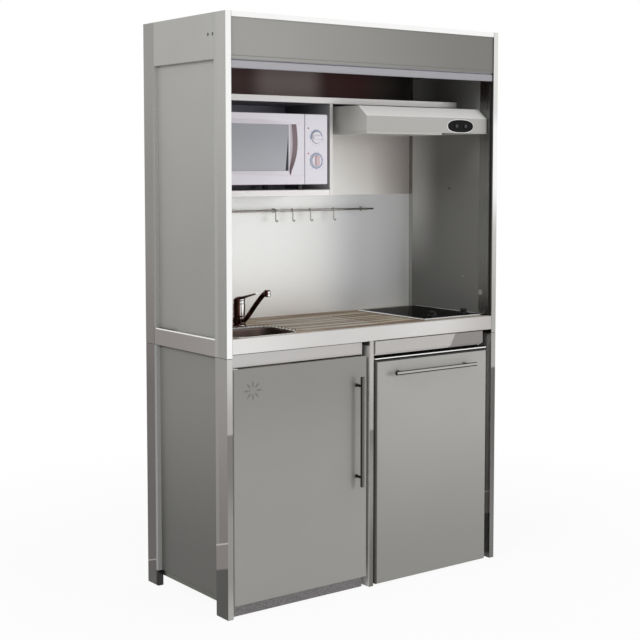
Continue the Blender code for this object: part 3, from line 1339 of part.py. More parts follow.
def make_fridge_case():
    """The insulated case with a bay for the compressor, its feet and its lower hinge."""
    x = (across(FRIDGE_CASE_LEFT), across(FRIDGE_CASE_LEFT + FRIDGE_CASE_WIDTH))
    y = (behind(FRIDGE_CASE_FRONT), behind(FRIDGE_CASE_FRONT + FRIDGE_CASE_DEPTH))
    z = (FRIDGE_CASE_BOTTOM, FRIDGE_CASE_TOP)
    bay_top = z[0] + BAY_FLOOR + COMPRESSOR_BAY_HEIGHT
    bay_front = y[1] - COMPRESSOR_BAY_DEPTH
    case = block("fridge_case", x, y, z, WHITE_PLASTIC)
    inner_x = (x[0] + FRIDGE_WALL, x[1] - FRIDGE_WALL)
    cut(
        case,
        block(
            "fridge_space", inner_x, (y[0] - OVERRUN, y[1] - FRIDGE_BACK_WALL),
            (bay_top + FRIDGE_WALL, z[1] - FRIDGE_WALL),
        ),
        block(
            "fridge_low_space", inner_x, (y[0] - OVERRUN, bay_front - FRIDGE_WALL),
            (z[0] + FRIDGE_WALL, bay_top + FRIDGE_WALL + OVERRUN),
        ),
        block(
            "compressor_bay", (x[0] + FRIDGE_WALL / 2, x[1] - FRIDGE_WALL / 2),
            (bay_front, y[1] + OVERRUN), (z[0] + BAY_FLOOR, bay_top),
        ),
    )
    partition = across(CENTRE_POST_LEFT) + (CENTRE_POST_WIDTH + PARTITION_THICKNESS) / 2
    bracket_y = y[0] + CASE_BRACKET
    bracket_z = z[1] - CASE_BRACKET
    join(case, block(
        "case_bracket", (partition + GAP, x[0] + WELD_LAP), (bracket_y, bracket_y + CASE_BRACKET),
        (bracket_z - CASE_BRACKET, bracket_z),
    ))
    inset = FRIDGE_FOOT_INSET
    foot_height = z[0] + WELD_LAP
    for n, (foot_x, foot_y) in enumerate((
        (x[0] + inset, y[0] + inset), (x[1] - inset, y[0] + inset),
        (x[0] + inset, y[1] - inset), (x[1] - inset, y[1] - inset),
    )):
        join(case, drum(
            f"fridge_foot_{n}", (foot_x, foot_y, foot_height / 2), FRIDGE_FOOT_RADIUS, foot_height,
            sides=SMALL_SIDES,
        ))
    hinge_x, hinge_y = fridge_hinge()
    right = across(FRIDGE_DOOR_LEFT + FRIDGE_DOOR_WIDTH)
    low = LOWER_PLATE_BOTTOM
    arm_x = (right - HINGE_PLATE_WIDTH, right)
    pin_low = low + LOWER_PLATE / 2
    join(
        case,
        block("hinge_arm", arm_x, (hinge_y - FRIDGE_PIN * 2, y[0] + inset), (low, low + LOWER_PLATE)),
        block("hinge_riser", arm_x, (y[0] + WELD_LAP, y[0] + inset), (low, z[0] + WELD_LAP)),
        drum(
            "hinge_low_pin", (hinge_x, hinge_y, pin_low + FRIDGE_PIN_LENGTH / 2), FRIDGE_PIN,
            FRIDGE_PIN_LENGTH, sides=SMALL_SIDES,
        ),
    )
    block(
        "fridge_shelf", (inner_x[0] + GAP, inner_x[1] - GAP),
        (behind(FRIDGE_SHELF_FRONT), y[1] - FRIDGE_BACK_WALL - GAP),
        (FRIDGE_SHELF_HEIGHT, FRIDGE_SHELF_HEIGHT + FRIDGE_SHELF_THICKNESS), CLEAR_GLASS,
    )
    seat = z[0] + BAY_FLOOR + GAP
    top = seat + COMPRESSOR_HEIGHT
    edge = COMPRESSOR_RADIUS - COMPRESSOR_DOME / 2
    turned("fridge_compressor", ((x[0] + x[1]) / 2, (bay_front + y[1]) / 2, 0), (
        (0, top), (edge / 2, top - COMPRESSOR_DOME / 6), (edge, top - COMPRESSOR_DOME / 2),
        (COMPRESSOR_RADIUS, top - COMPRESSOR_DOME), (COMPRESSOR_RADIUS, seat + COMPRESSOR_DOME),
        (edge, seat), (0, seat),
    ), KNOB_BLACK)


def make_fridge_strip():
    """The strip above the refrigerator's door, with the trim line and the upper hinge."""
    left = across(FRIDGE_DOOR_LEFT)
    right = left + STRIP_WIDTH
    face = behind(-STRIP_PROUD)
    back = behind(FRIDGE_CASE_FRONT) - GAP
    hinge_x, hinge_y = fridge_hinge()
    door_right = left + FRIDGE_DOOR_WIDTH
    strip = block(
        "fridge_strip", (left, right), (face, face + STRIP_THICKNESS), (STRIP_BOTTOM, STRIP_TOP),
        SATIN_STEEL, POST_EDGE,
    )
    bar_top = BAR_LINE_BOTTOM + BAR_LINE_HEIGHT
    pin_top = bar_top - BAR_LINE_HEIGHT / 2
    join(
        strip,
        block(
            "strip_housing", (left + POST_EDGE, right - POST_EDGE),
            (face + STRIP_THICKNESS - WELD_LAP, back), (HOUSING_BOTTOM, STRIP_TOP - POST_EDGE),
        ),
        block(
            "strip_web", (left + POST_EDGE, right - POST_EDGE), (hinge_y + FRIDGE_PIN, back),
            (BAR_LINE_BOTTOM, HOUSING_BOTTOM + WELD_LAP),
        ),
        block(
            "strip_line", (left, door_right), (face, back - POST_EDGE),
            (BAR_LINE_BOTTOM, bar_top),
        ),
        drum(
            "hinge_high_pin", (hinge_x, hinge_y, pin_top - FRIDGE_PIN_LENGTH / 2), FRIDGE_PIN,
            FRIDGE_PIN_LENGTH, sides=SMALL_SIDES,
        ),
    )


def make_fridge_door():
    """The refrigerator's door with its seal and inner liner, and the bar across it."""
    x = (across(FRIDGE_DOOR_LEFT), across(FRIDGE_DOOR_LEFT + FRIDGE_DOOR_WIDTH))
    y = (behind(-FRIDGE_DOOR_PROUD), behind(FRIDGE_DOOR_THICKNESS - FRIDGE_DOOR_PROUD))
    z = (FRIDGE_DOOR_BOTTOM, FRIDGE_DOOR_TOP)
    hinge_x, hinge_y = fridge_hinge()
    door = block("fridge_door", x, y, z, DOOR_GREY, FRIDGE_DOOR_EDGE)
    seal_x = (x[0] + GASKET_INSET, x[1] - GASKET_HINGE_INSET)
    seal_z = (z[0] + GASKET_INSET, z[1] - GASKET_INSET)
    case_front = behind(FRIDGE_CASE_FRONT)
    inset = DOOR_LINER_INSET
    bay_top = FRIDGE_CASE_BOTTOM + FRIDGE_WALL
    join(
        door,
        block("door_seal", seal_x, (y[1] - WELD_LAP, case_front - GAP), seal_z),
        block(
            "door_liner", (x[0] + inset, x[1] - inset),
            (y[1] - WELD_LAP, case_front + DOOR_LINER_DEPTH),
            (bay_top + inset / 4, z[1] - inset),
        ),
    )
    for name, middle in (("low", z[0]), ("high", z[1])):
        cut(door, drum(
            f"pin_hole_{name}", (hinge_x, hinge_y, middle), FRIDGE_PIN + PIVOT_PLAY,
            2 * FRIDGE_PIN_LENGTH, sides=SMALL_SIDES,
        ))
    handle = bar_handle(
        "fridge_handle", across(FRIDGE_HANDLE_X), y[0], FRIDGE_HANDLE_HEIGHT, False, STAINLESS,
    )
    hang(pivot("fridge_door_axis", (hinge_x, hinge_y, z[0])), door, handle)


def make_oven_case():
    """The microwave's case with its cavity, control face and four feet."""
    x = (across(OVEN_LEFT), across(OVEN_LEFT + OVEN_WIDTH))
    seat = NICHE_SHELF_TOP + GAP
    z = (seat + OVEN_FOOT_HEIGHT, seat + OVEN_FOOT_HEIGHT + OVEN_HEIGHT)
    face = behind(OVEN_FRONT)
    shell = (face + OVEN_DOOR_THICKNESS + OVEN_CASE_SETBACK, face + OVEN_DEPTH)
    panel_left = x[0] + OVEN_DOOR_WIDTH + OVEN_DOOR_GAP
    case = block("microwave_case", x, shell, z, OVEN_WHITE, OVEN_EDGE)
    inner_x = (x[0] + CAVITY_WALL, x[0] + CAVITY_WALL + CAVITY_WIDTH)
    inner_z = (z[0] + CAVITY_FLOOR, z[1] - CAVITY_FLOOR)
    join(case, block(
        "control_face", (panel_left, x[1]), (face, shell[0] + OVEN_DOOR_THICKNESS), z, OVEN_WHITE,
        OVEN_EDGE,
    ))
    cut(case, block("oven_space", inner_x, (face, shell[0] + CAVITY_DEPTH), inner_z))
    inset = OVEN_FOOT_INSET
    spread = OVEN_FOOT_SPREAD
    front_feet = behind(SHELF_FRONT) + OVEN_FOOT_RADIUS + SHELF_EDGE
    foot_top = z[0] + WELD_LAP
    for n, (foot_x, foot_y) in enumerate((
        (x[0] + spread, front_feet), (x[1] - spread, front_feet),
        (x[0] + spread, shell[1] - inset), (x[1] - spread, shell[1] - inset),
    )):
        join(case, drum(
            f"oven_foot_{n}", (foot_x, foot_y, (seat + foot_top) / 2), OVEN_FOOT_RADIUS,
            foot_top - seat, sides=SMALL_SIDES,
        ))
    floor = inner_z[0] + GAP
    lift = floor + TURNTABLE_LIFT
    rim = lift + TURNTABLE_THICKNESS
    table = turned("microwave_turntable", (
        (inner_x[0] + inner_x[1]) / 2, shell[0] + CAVITY_DEPTH / 2, 0,
    ), (
        (0, lift + TURNTABLE_THICKNESS / 2),
        (TURNTABLE_RADIUS - TURNTABLE_RIM * 2, lift + TURNTABLE_THICKNESS / 2),
        (TURNTABLE_RADIUS - TURNTABLE_RIM, rim),
        (TURNTABLE_RADIUS, rim),
        (TURNTABLE_RADIUS, rim - TURNTABLE_THICKNESS / 3),
        (TURNTABLE_RADIUS - TURNTABLE_RIM * 2, lift),
        (TURNTABLE_HUB, lift),
        (TURNTABLE_HUB, floor),
        (0, floor),
    ), CLEAR_GLASS)
    table_axis = pivot("microwave_turntable_axis", tuple(table.location))
    hang(table_axis, table)
    for label, height in zip(("power", "timer"), OVEN_KNOB_HEIGHTS):
        knob_x = across(OVEN_KNOB_X)
        knob_z = z[0] + height
        back = face - GAP
        knob = drum(
            f"microwave_{label}_knob", (knob_x, back - OVEN_KNOB_SKIRT / 2, knob_z),
            OVEN_KNOB_RADIUS, OVEN_KNOB_SKIRT, "Y", OVEN_WHITE,
        )
        join(knob, block(
            f"oven_grip_{label}",
            (knob_x - OVEN_KNOB_RADIUS + OVEN_EDGE, knob_x + OVEN_KNOB_RADIUS - OVEN_EDGE),
            (back - OVEN_KNOB_DEPTH, back - OVEN_KNOB_SKIRT / 2),
            (knob_z - OVEN_KNOB_GRIP / 2, knob_z + OVEN_KNOB_GRIP / 2), OVEN_WHITE, SHELF_EDGE,
        ))
        hang(pivot(f"microwave_{label}_knob_axis", (knob_x, back, knob_z)), knob)


def make_oven_door():
    """The microwave's door: a moulded frame with a sunk window, grip and inner seal plate."""
    x = (across(OVEN_LEFT), across(OVEN_LEFT + OVEN_DOOR_WIDTH))
    low = NICHE_SHELF_TOP + GAP + OVEN_FOOT_HEIGHT
    z = (low, low + OVEN_HEIGHT)
    face = behind(OVEN_FRONT)
    back = face + OVEN_DOOR_THICKNESS
    door = block("microwave_door", x, (face, back), z, OVEN_WHITE, OVEN_DOOR_HINGE - GAP)
    join(door, block(
        "oven_seal", (x[0] + OVEN_SEAL_INSET, x[1] - OVEN_SEAL_INSET),
        (back - WELD_LAP, back + OVEN_SEAL), (z[0] + OVEN_SEAL_INSET, z[1] - OVEN_SEAL_INSET),
    ))
    window_x = (x[0] + WINDOW_LEFT, x[0] + WINDOW_LEFT + WINDOW_WIDTH)
    window_z = (z[0] + WINDOW_BOTTOM, z[0] + WINDOW_BOTTOM + WINDOW_HEIGHT)
    cut(door, block("oven_window", window_x, (face - OVERRUN, face + WINDOW_DEPTH), window_z))
    grip_low = z[0] + GRIP_BOTTOM
    steps = len(GRIP_SHARES) - 1
    outline = [(0, GRIP_HEIGHT), (0, GRIP_HEIGHT / steps)]
    outline += [(GRIP_WIDTH * share, GRIP_HEIGHT * n / steps) for n, share in enumerate(GRIP_SHARES)]
    cut(door, plate(
        "oven_grip", (x[0] + GRIP_LEFT, face, grip_low), outline, 2 * GRIP_DEPTH, "Y", OVEN_WHITE,
    ))
    hinge = (x[0] + OVEN_DOOR_HINGE, back - OVEN_CASE_SETBACK, z[0])
    hang(pivot("microwave_door_axis", hinge), door)


make_side_frames()
make_side_panels()
make_middle()
make_backs()
make_base()
make_worktop()
make_sink()
make_tap()
make_hob()
make_shelves()
make_utensil_rail()
make_hood()
make_shutter_box()
make_shutter()
make_cupboard_door()
make_fridge_case()
make_fridge_strip()
make_fridge_door()
make_oven_case()
make_oven_door()
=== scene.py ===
import math

import bmesh
import bpy
import numpy as np
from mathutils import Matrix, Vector


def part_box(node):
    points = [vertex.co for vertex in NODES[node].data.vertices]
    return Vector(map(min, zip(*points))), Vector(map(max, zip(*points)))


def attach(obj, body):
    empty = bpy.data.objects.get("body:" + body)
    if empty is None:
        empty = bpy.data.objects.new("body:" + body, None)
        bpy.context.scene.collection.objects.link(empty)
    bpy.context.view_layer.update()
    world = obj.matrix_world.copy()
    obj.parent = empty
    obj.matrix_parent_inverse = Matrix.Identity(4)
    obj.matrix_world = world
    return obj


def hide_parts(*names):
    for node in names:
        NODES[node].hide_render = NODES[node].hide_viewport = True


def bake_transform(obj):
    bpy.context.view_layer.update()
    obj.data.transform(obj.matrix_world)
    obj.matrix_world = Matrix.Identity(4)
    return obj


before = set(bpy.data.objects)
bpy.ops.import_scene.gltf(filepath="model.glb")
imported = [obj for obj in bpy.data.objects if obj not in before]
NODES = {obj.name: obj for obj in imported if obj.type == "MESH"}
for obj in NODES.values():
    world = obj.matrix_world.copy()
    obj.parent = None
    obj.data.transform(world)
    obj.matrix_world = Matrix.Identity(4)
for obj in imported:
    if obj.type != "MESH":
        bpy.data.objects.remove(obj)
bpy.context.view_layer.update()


# ----------------------------------------
# The studio. A pale floor runs out under a white surround. A large soft lamp stands in
# front, a weaker one on the left, and the surround fills the rest of the light.


def joined(operation, swapped=False):
    """A method that adds one Math node, for a wire and what it is joined with."""
    def method(self, *others):
        return self.wiring.math(operation, *((*others, self) if swapped else (self, *others)))
    return method


class Wire:
    """A node's output. Arithmetic on it adds Math nodes to the same tree."""

    __add__ = __radd__ = joined("ADD")
    __sub__, __rsub__ = joined("SUBTRACT"), joined("SUBTRACT", swapped=True)
    __mul__ = __rmul__ = joined("MULTIPLY")
    __truediv__, __pow__ = joined("DIVIDE"), joined("POWER")
    __gt__, __lt__ = joined("GREATER_THAN"), joined("LESS_THAN")
    least, most = joined("MINIMUM"), joined("MAXIMUM")
    size, wave = joined("ABSOLUTE"), joined("SINE")

    def __init__(self, wiring, socket):
        self.wiring = wiring
        self.socket = socket

    def hypot(self, other):
        """The distance whose parts square to each other are this one and the other."""
        return (self * self + other * other) ** 0.5


class Wiring:
    """A node tree in which each node comes from its type, its settings and its sockets."""

    def __init__(self, tree):
        self.tree = tree

    def node(self, kind, settings=None, sockets=None, output=0):
        made = self.tree.nodes.new("ShaderNode" + kind)
        for name, value in (settings or {}).items():
            setattr(made, name, value)
        self.give(made, sockets or {})
        return Wire(self, made.outputs[output])

    def math(self, operation, *values):
        return self.node("Math", {"operation": operation}, dict(enumerate(values)))

    def give(self, node, sockets):
        for name, value in sockets.items():
            if isinstance(value, Wire):
                self.tree.links.new(value.socket, node.inputs[name])
            else:
                node.inputs[name].default_value = value


def tone(red, green, blue):
    """A colour given as it looks on a screen, from 0 to 255, as the shader's linear values."""
    linear = ((np.array([red, green, blue]) / 255 + 0.055) / 1.055) ** 2.4
    return (*linear.tolist(), 1.0)


WHITE = (1.0, 1.0, 1.0, 1.0)


def seen_white(wiring):
    """1 for what the lens sees, also by way of metal or glass, and 0 for light on a surface."""
    rays = [
        wiring.node("LightPath", output=name)
        for name in ("Is Camera Ray", "Is Glossy Ray", "Is Transmission Ray")
    ]
    return (rays[0] + rays[1] + rays[2]).least(1.0)


LENS = 74.41
SENSOR = 36.0
VIEW_PLACE = (-2.8916, -3.8144, 1.4820)
VIEW_HEADING = math.radians(36.72)
VIEW_DIP = math.radians(4.09)
VIEW_SHIFT = -0.0906
lens = bpy.data.cameras.new("view")
lens.lens = LENS
lens.sensor_width = SENSOR
lens.shift_y = VIEW_SHIFT
viewer = bpy.data.objects.new("view", lens)
bpy.context.scene.collection.objects.link(viewer)
viewer.location = VIEW_PLACE
ahead = Vector((
    math.sin(VIEW_HEADING) * math.cos(VIEW_DIP),
    math.cos(VIEW_HEADING) * math.cos(VIEW_DIP),
    -math.sin(VIEW_DIP),
))
viewer.rotation_euler = ahead.to_track_quat("-Z", "Y").to_euler()
bpy.context.scene.camera = viewer
bpy.context.scene.view_settings.view_transform = "Standard"

SURROUND_LIGHT = 0.50
surround = bpy.data.worlds.new("surround")
surround.use_nodes = True
surround.node_tree.nodes.clear()
sky = Wiring(surround.node_tree)
lit = sky.node("Background", sockets={"Color": WHITE, "Strength": SURROUND_LIGHT})
shown = sky.node("Background", sockets={"Color": WHITE, "Strength": 1.0})
sky.give(surround.node_tree.nodes.new("ShaderNodeOutputWorld"), {
    "Surface": sky.node("MixShader", sockets={0: seen_white(sky), 1: lit, 2: shown}),
})
bpy.context.scene.world = surround

FLOOR_REACH = 14.0
FLOOR_GLOW = 0.92
FLOOR_TONE = (0.90, 0.90, 0.90, 1.0)
WHITE_FROM, WHITE_AT = 0.9, 2.6
ground = bpy.data.meshes.new("floor")
ground.from_pydata(
    [
        (-FLOOR_REACH, -FLOOR_REACH, 0), (FLOOR_REACH, -FLOOR_REACH, 0),
        (FLOOR_REACH, FLOOR_REACH, 0), (-FLOOR_REACH, FLOOR_REACH, 0),
    ],
    [], [(0, 1, 2, 3)],
)
floor = bpy.data.objects.new("floor", ground)
bpy.context.scene.collection.objects.link(floor)
floor_paint = bpy.data.materials.new("floor paint")
floor_paint.use_nodes = True
floor_paint.node_tree.nodes.clear()
boards = Wiring(floor_paint.node_tree)
matt = boards.node("BsdfDiffuse", sockets={"Color": FLOOR_TONE})
glow = boards.node("Emission", sockets={"Color": WHITE, "Strength": 1.0})
spot = boards.node("TexCoord", output="Object")
away = boards.node("VectorMath", {"operation": "LENGTH"}, {0: spot}, output="Value")
white_out = boards.node("MapRange", {"interpolation_type": "SMOOTHSTEP"}, {
    "Value": away, "From Min": WHITE_FROM, "From Max": WHITE_AT, "To Min": FLOOR_GLOW, "To Max": 1.0,
})
seen_floor = boards.node("MixShader", sockets={0: seen_white(boards) * white_out, 1: matt, 2: glow})
boards.give(floor_paint.node_tree.nodes.new("ShaderNodeOutputMaterial"), {"Surface": seen_floor})
ground.materials.append(floor_paint)


def soft_lamp(name, place, aim, size, power):
    """A square soft lamp that faces a point. Gloss doesn't show it."""
    lamp = bpy.data.lights.new(name, "AREA")
    lamp.size = size
    lamp.energy = power
    stand = bpy.data.objects.new(name, lamp)
    stand.visible_glossy = False
    bpy.context.scene.collection.objects.link(stand)
    stand.location = place
    stand.rotation_euler = (Vector(aim) - Vector(place)).to_track_quat("-Z", "Y").to_euler()


# Name, place, point that it faces, size and power.
soft_lamp("front lamp", (1.5, -4.4, 1.35), (-0.1, 0.2, 1.15), 1.6, 84)
soft_lamp("left lamp", (-4.2, -1.6, 3.4), (0.0, 0.0, 1.3), 1.8, 76)


# ----------------------------------------
# The frames. Each side stands on a front and a rear post of folded stainless sheet, ground
# along its length and polished. Rails are welded between the posts, and the upper frame
# stands on the lower one. A third, shorter post parts the cupboard from the refrigerator.


class Finish(Wiring):
    """A material under way: its Principled shader, and the piece's own place in metres."""

    def __init__(self, name, sockets):
        self.material = bpy.data.materials.new(name)
        self.material.use_nodes = True
        super().__init__(self.material.node_tree)
        self.shader = self.tree.nodes["Principled BSDF"]
        self.place = self.node("TexCoord", output="Object")
        self.x, self.y, self.z = (
            self.node("SeparateXYZ", sockets={0: self.place}, output=axis) for axis in "XYZ"
        )
        self.give(self.shader, sockets)

    def direction(self, axis):
        """How much of the surface's own direction lies along one axis, from -1 to 1."""
        direction = self.node("TexCoord", output="Normal")
        return self.node("SeparateXYZ", sockets={0: direction}, output=axis)

    def facing(self, axis):
        """The same, from 0 to 1 whichever way the surface looks."""
        return self.direction(axis).size()

    def noise(self, scale, stretch=(1.0, 1.0, 1.0), detail=2.0):
        """Cloudy noise about 0.5, drawn out along an axis where stretch is small."""
        spread = self.node("Mapping", sockets={"Vector": self.place, "Scale": stretch})
        return self.node("TexNoise", sockets={"Vector": spread, "Scale": scale, "Detail": detail})

    def scratches(self, stretch=(0.015, 1.0, 1.0)):
        """Fine scratches along the axis on which the noise is drawn out."""
        return self.noise(900.0, stretch, 3.0)

    def between(self, value, low, high):
        """0 below low, 1 above high, and a smooth step from one to the other."""
        return self.node(
            "MapRange", {"interpolation_type": "SMOOTHSTEP"},
            {"Value": value, "From Min": low, "From Max": high},
        )

    def mix(self, share, first, second):
        """A colour that goes from the first to the second as the share goes from 0 to 1."""
        return self.node("Mix", {"data_type": "RGBA"}, {0: share, 6: first, 7: second}, output=2)

    def stepped(self, value, first, *stops):
        """A tone that goes over into the next one from each stop's low to its high value."""
        colour = first
        for low, high, following in stops:
            colour = self.mix(self.between(value, low, high), colour, following)
        return colour

    def relief(self, height, depth, strength=1.0):
        """Bumps of a depth in metres."""
        bump = self.node("Bump", sockets={"Height": height, "Distance": depth, "Strength": strength})
        self.give(self.shader, {"Normal": bump})

    def wear(self, colour, roughness=None):
        """Gives the shader its colour, and its roughness where that varies."""
        self.give(self.shader, {"Base Color": colour})
        if roughness:
            self.give(self.shader, {"Roughness": roughness})


def ground_steel(name, front, side, along, roughness=0.24, shadow_mask=None):
    """Stainless sheet ground along one axis: fine scratches and slow clouds in the polish.
    Its tones are painted reflections: faces that look to the side are painted duller than
    those that look forward. The tone of each is a colour, or a function of the finish, and
    the last argument gives where painted shadow makes the sheet darkest."""
    steel = Finish(name, {"Metallic": 1.0})
    stretch = [1.0, 1.0, 1.0]
    stretch[along] = 0.015
    scratches = steel.scratches(stretch)
    clouds = steel.noise(2.6, detail=3.0)
    sideways = steel.between(steel.facing("X"), 0.4, 0.8)
    front, side = (painted_light(steel) if callable(painted_light) else painted_light for painted_light in (front, side))
    cloudy = steel.mix(clouds, (0.2, 0.2, 0.2, 1.0), WHITE)
    soft = steel.mix(0.04, steel.mix(sideways, front, side), cloudy)
    colour = steel.mix(scratches * 0.12, soft, (0.22, 0.22, 0.21, 1.0))
    # Painted shadow: the sheet is painted very dark where the mask is 1.
    if shadow_mask:
        colour = steel.mix(shadow_mask(steel), colour, tone(9, 9, 9))
    steel.wear(colour, roughness - 0.04 + 0.10 * scratches + 0.05 * clouds)
    steel.relief(scratches, 0.00006, 0.35)
    return steel


def dress(names, finish, edge=0.0):
    """Gives carried-over nodes their finish, and, when an edge width is given, each sharp edge a small
    round.
    """
    for name in names:
        node = NODES[name]
        node.data.materials.clear()
        node.data.materials.append(finish.material)
        if not edge:
            continue
        weld = node.modifiers.new("weld", "WELD")
        weld.merge_threshold = 0.00001
        bevel = node.modifiers.new("edges", "BEVEL")
        bevel.width = edge
        bevel.segments = 2
        bevel.limit_method = "ANGLE"
        bevel.angle_limit = math.radians(32)


POLISHED = tone(255, 255, 254)
EDGE = 0.0006
REAR_POST = 0.10
RETURN = 0.230
FRONT_RETURN = -0.188
RAIL_BACK = 0.218
RAIL_FRONT = -0.168
RAIL_TOP = 0.9225
JOINT = 0.8642
FOOT = 0.056
SEAM = tone(72, 69, 67)
SEAM_HALF = 0.0019
RAIL_HIGHLIGHT = 0.0042
INNER_SIDE = 0.5785
# Slope and heights of the painted reflection lines and painted shade low on the posts.
FOOT_SLOPE = 0.30
FRONT_LINE_LOW, FRONT_LINE_HIGH = 0.2565, 0.262
REAR_SHADE, REAR_LINE, REAR_LINE_HALF = 0.074, 0.076, 0.0022
FLANK_SHADE = 0.860


def upper_fronts(steel):
    """The upper frame's faces that look forward, with painted reflections: bright, stepped by height on the
    right post, and painted dull on the rear posts.
    """
    height = steel.z
    right = steel.stepped(
        height, tone(174, 173, 170), (0.90, 1.25, tone(200, 199, 196)), (1.22, 1.42, POLISHED),
        (1.62, 1.70, tone(228, 228, 225)),
    )
    bright = steel.mix(steel.x > 0.0, POLISHED, right)
    dull = steel.stepped(height, tone(178, 178, 176), (0.90, 1.90, tone(190, 190, 188)))
    face = steel.mix(steel.y > REAR_POST, bright, dull)
    return steel.mix(height < JOINT, face, tone(120, 119, 117))


def upper_sides(steel):
    """The upper frame's outer faces, with painted reflections and shade: paler in front and above,
    duller on the rear post, painted shade on the inner faces, the seams round the rail, and a
    painted highlight along the rail's upper edge."""
    height, depth = steel.z, steel.y
    front = steel.stepped(height, tone(142, 140, 137), (0.86, 1.95, tone(177, 176, 173)))
    front = steel.mix((depth > FRONT_RETURN) * 0.5, front, tone(166, 167, 165))
    rear = steel.stepped(
        height, tone(114, 109, 106), (0.87, 1.36, tone(132, 129, 126)), (1.36, 1.86, tone(146, 145, 142)),
    )
    strip = steel.stepped(height, tone(130, 130, 128), (0.90, 1.90, tone(146, 146, 144)))
    rear = steel.mix(depth < RETURN, rear, strip)
    post = steel.mix(depth > REAR_POST, front, rear)
    along_rail = (depth > RAIL_FRONT) * (depth < RETURN) * (height < RAIL_TOP)
    rail = steel.mix(steel.between(depth, -0.17, 0.20), tone(142, 137, 134), tone(133, 126, 123))
    # Painted highlight along the rail's upper edge.
    rail = steel.mix((height > RAIL_TOP - RAIL_HIGHLIGHT) * (depth < RAIL_BACK), rail, tone(240, 239, 236))
    post = steel.mix(along_rail, post, rail)
    # Painted shade on the inner faces that look into the cabinet; the rear post's is darker.
    inner = steel.mix(depth > REAR_POST, tone(111, 111, 108), tone(172, 171, 168))
    post = steel.mix(steel.x.size() < INNER_SIDE, post, inner)
    seam = ((depth - RETURN).size() < SEAM_HALF) * (height < RAIL_TOP)
    return steel.mix(seam.most(height < JOINT), post, SEAM)


def lower_sides(steel):
    """The lower frame's outer faces carry painted reflections of the floor: dull, with a painted
    bright line near each foot, and painted shade below it; the rail between the posts is dark."""
    height, depth = steel.z, steel.y
    front = steel.stepped(height, tone(112, 106, 103), (0.22, 0.86, tone(143, 140, 137)))
    front = steel.mix((depth > FRONT_RETURN) * 0.5, front, tone(140, 140, 138))
    # Painted reflection of the floor: the lines run along the slope, so they sink towards the rear.
    slope = height + (depth + 0.24) * FOOT_SLOPE
    front = steel.mix((slope < FRONT_LINE_HIGH) * (slope > FRONT_LINE_LOW), front, tone(176, 170, 167))
    front = steel.mix(slope < FRONT_LINE_LOW, front, tone(122, 115, 112))
    front = steel.mix(steel.between(slope, 0.172, 0.178), tone(58, 57, 54), front)
    rear = steel.stepped(
        height, tone(76, 70, 69), (0.28, 0.66, tone(88, 81, 79)), (0.66, 0.86, tone(103, 96, 94)),
    )
    slope = height + (depth - 0.29) * FOOT_SLOPE
    rear = steel.mix(slope < REAR_SHADE, rear, tone(66, 62, 60))
    rear = steel.mix((slope - REAR_LINE).size() < REAR_LINE_HALF, rear, tone(150, 142, 140))
    rear = steel.mix(depth < RETURN, rear, tone(136, 137, 136))
    post = steel.mix(depth > REAR_POST, front, rear)
    return steel.mix((depth > RAIL_FRONT) * (depth < RAIL_BACK), post, tone(80, 79, 75))


def foot_shade(steel):
    """Painted shadow: the rear feet are painted darkest in front and inside, below the panel."""
    forward = (steel.facing("Y") > 0.5).most(steel.y < RETURN)
    return forward * (steel.y > RAIL_BACK - 0.0005) * (steel.z < FOOT)


def lower_fronts(*stops):
    """The lower frame's faces that look forward, with painted reflections stepped by height; the rear
    posts' are painted dull.
    """
    def fronts(steel):
        ahead = steel.stepped(steel.z, *stops)
        return steel.mix(steel.y > REAR_POST, ahead, tone(178, 179, 178))
    return fronts


def centre_fronts(steel):
    """The centre post's face has painted shade towards its left edge, and painted reflections, brighter
    above and dull below.
    """
    east = steel.between(steel.x, centre_low.x, centre_low.x + 0.005)
    low = steel.stepped(
        steel.z, tone(106, 105, 102), (0.10, 0.35, tone(142, 141, 137)),
        (0.45, 0.54, tone(124, 123, 120)),
    )
    high = steel.stepped(steel.z, tone(170, 168, 165), (0.60, 0.80, tone(192, 189, 186)))
    face = steel.mix(steel.between(steel.z, 0.557, 0.567), low, high)
    return steel.mix((1.0 - east) * 0.55, face, tone(84, 83, 81))


def centre_flank(steel):
    """Painted shade: the post's sides are painted dark beside the rail under the worktop, and pale below
    it.
    """
    return steel.mix(steel.z > FLANK_SHADE, tone(200, 198, 195), tone(62, 61, 60))


centre_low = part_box("centre_post")[0]
upper_steel = ground_steel("upper frame steel", upper_fronts, upper_sides, 2)
left_steel = ground_steel("left lower frame steel", lower_fronts(
    tone(172, 170, 167), (0.02, 0.14, tone(148, 146, 143)), (0.30, 0.50, tone(122, 120, 117)),
    (0.610, 0.620, tone(176, 174, 171)), (0.64, 0.86, tone(208, 206, 203)),
), lower_sides, 2, shadow_mask=foot_shade)
right_steel = ground_steel("right lower frame steel", lower_fronts(
    tone(112, 111, 108), (0.12, 0.55, tone(95, 94, 91)), (0.726, 0.736, tone(170, 168, 165)),
), lower_sides, 2, shadow_mask=foot_shade)
for steel in (upper_steel, left_steel, right_steel):
    rear_front = (steel.y > REAR_POST) * (steel.facing("Y") > 0.5)
    steel.give(steel.shader, {"Metallic": 1.0 - rear_front * 0.9})
centre_steel = ground_steel("centre post steel", centre_fronts, centre_flank, 2)
centre_steel.give(centre_steel.shader, {"Metallic": centre_steel.facing("Y") > 0.5})
dress(("upper_frame_left", "upper_frame_right"), upper_steel, EDGE)
dress(("lower_frame_left",), left_steel, EDGE)
dress(("lower_frame_right",), right_steel, EDGE)
dress(("centre_post",), centre_steel, EDGE)


# ----------------------------------------
# The side panels, the shutter box's covers and the partition. They are powder coated sheet
# steel, folded at the rims and slid in between the posts. The coat has a fine orange peel.


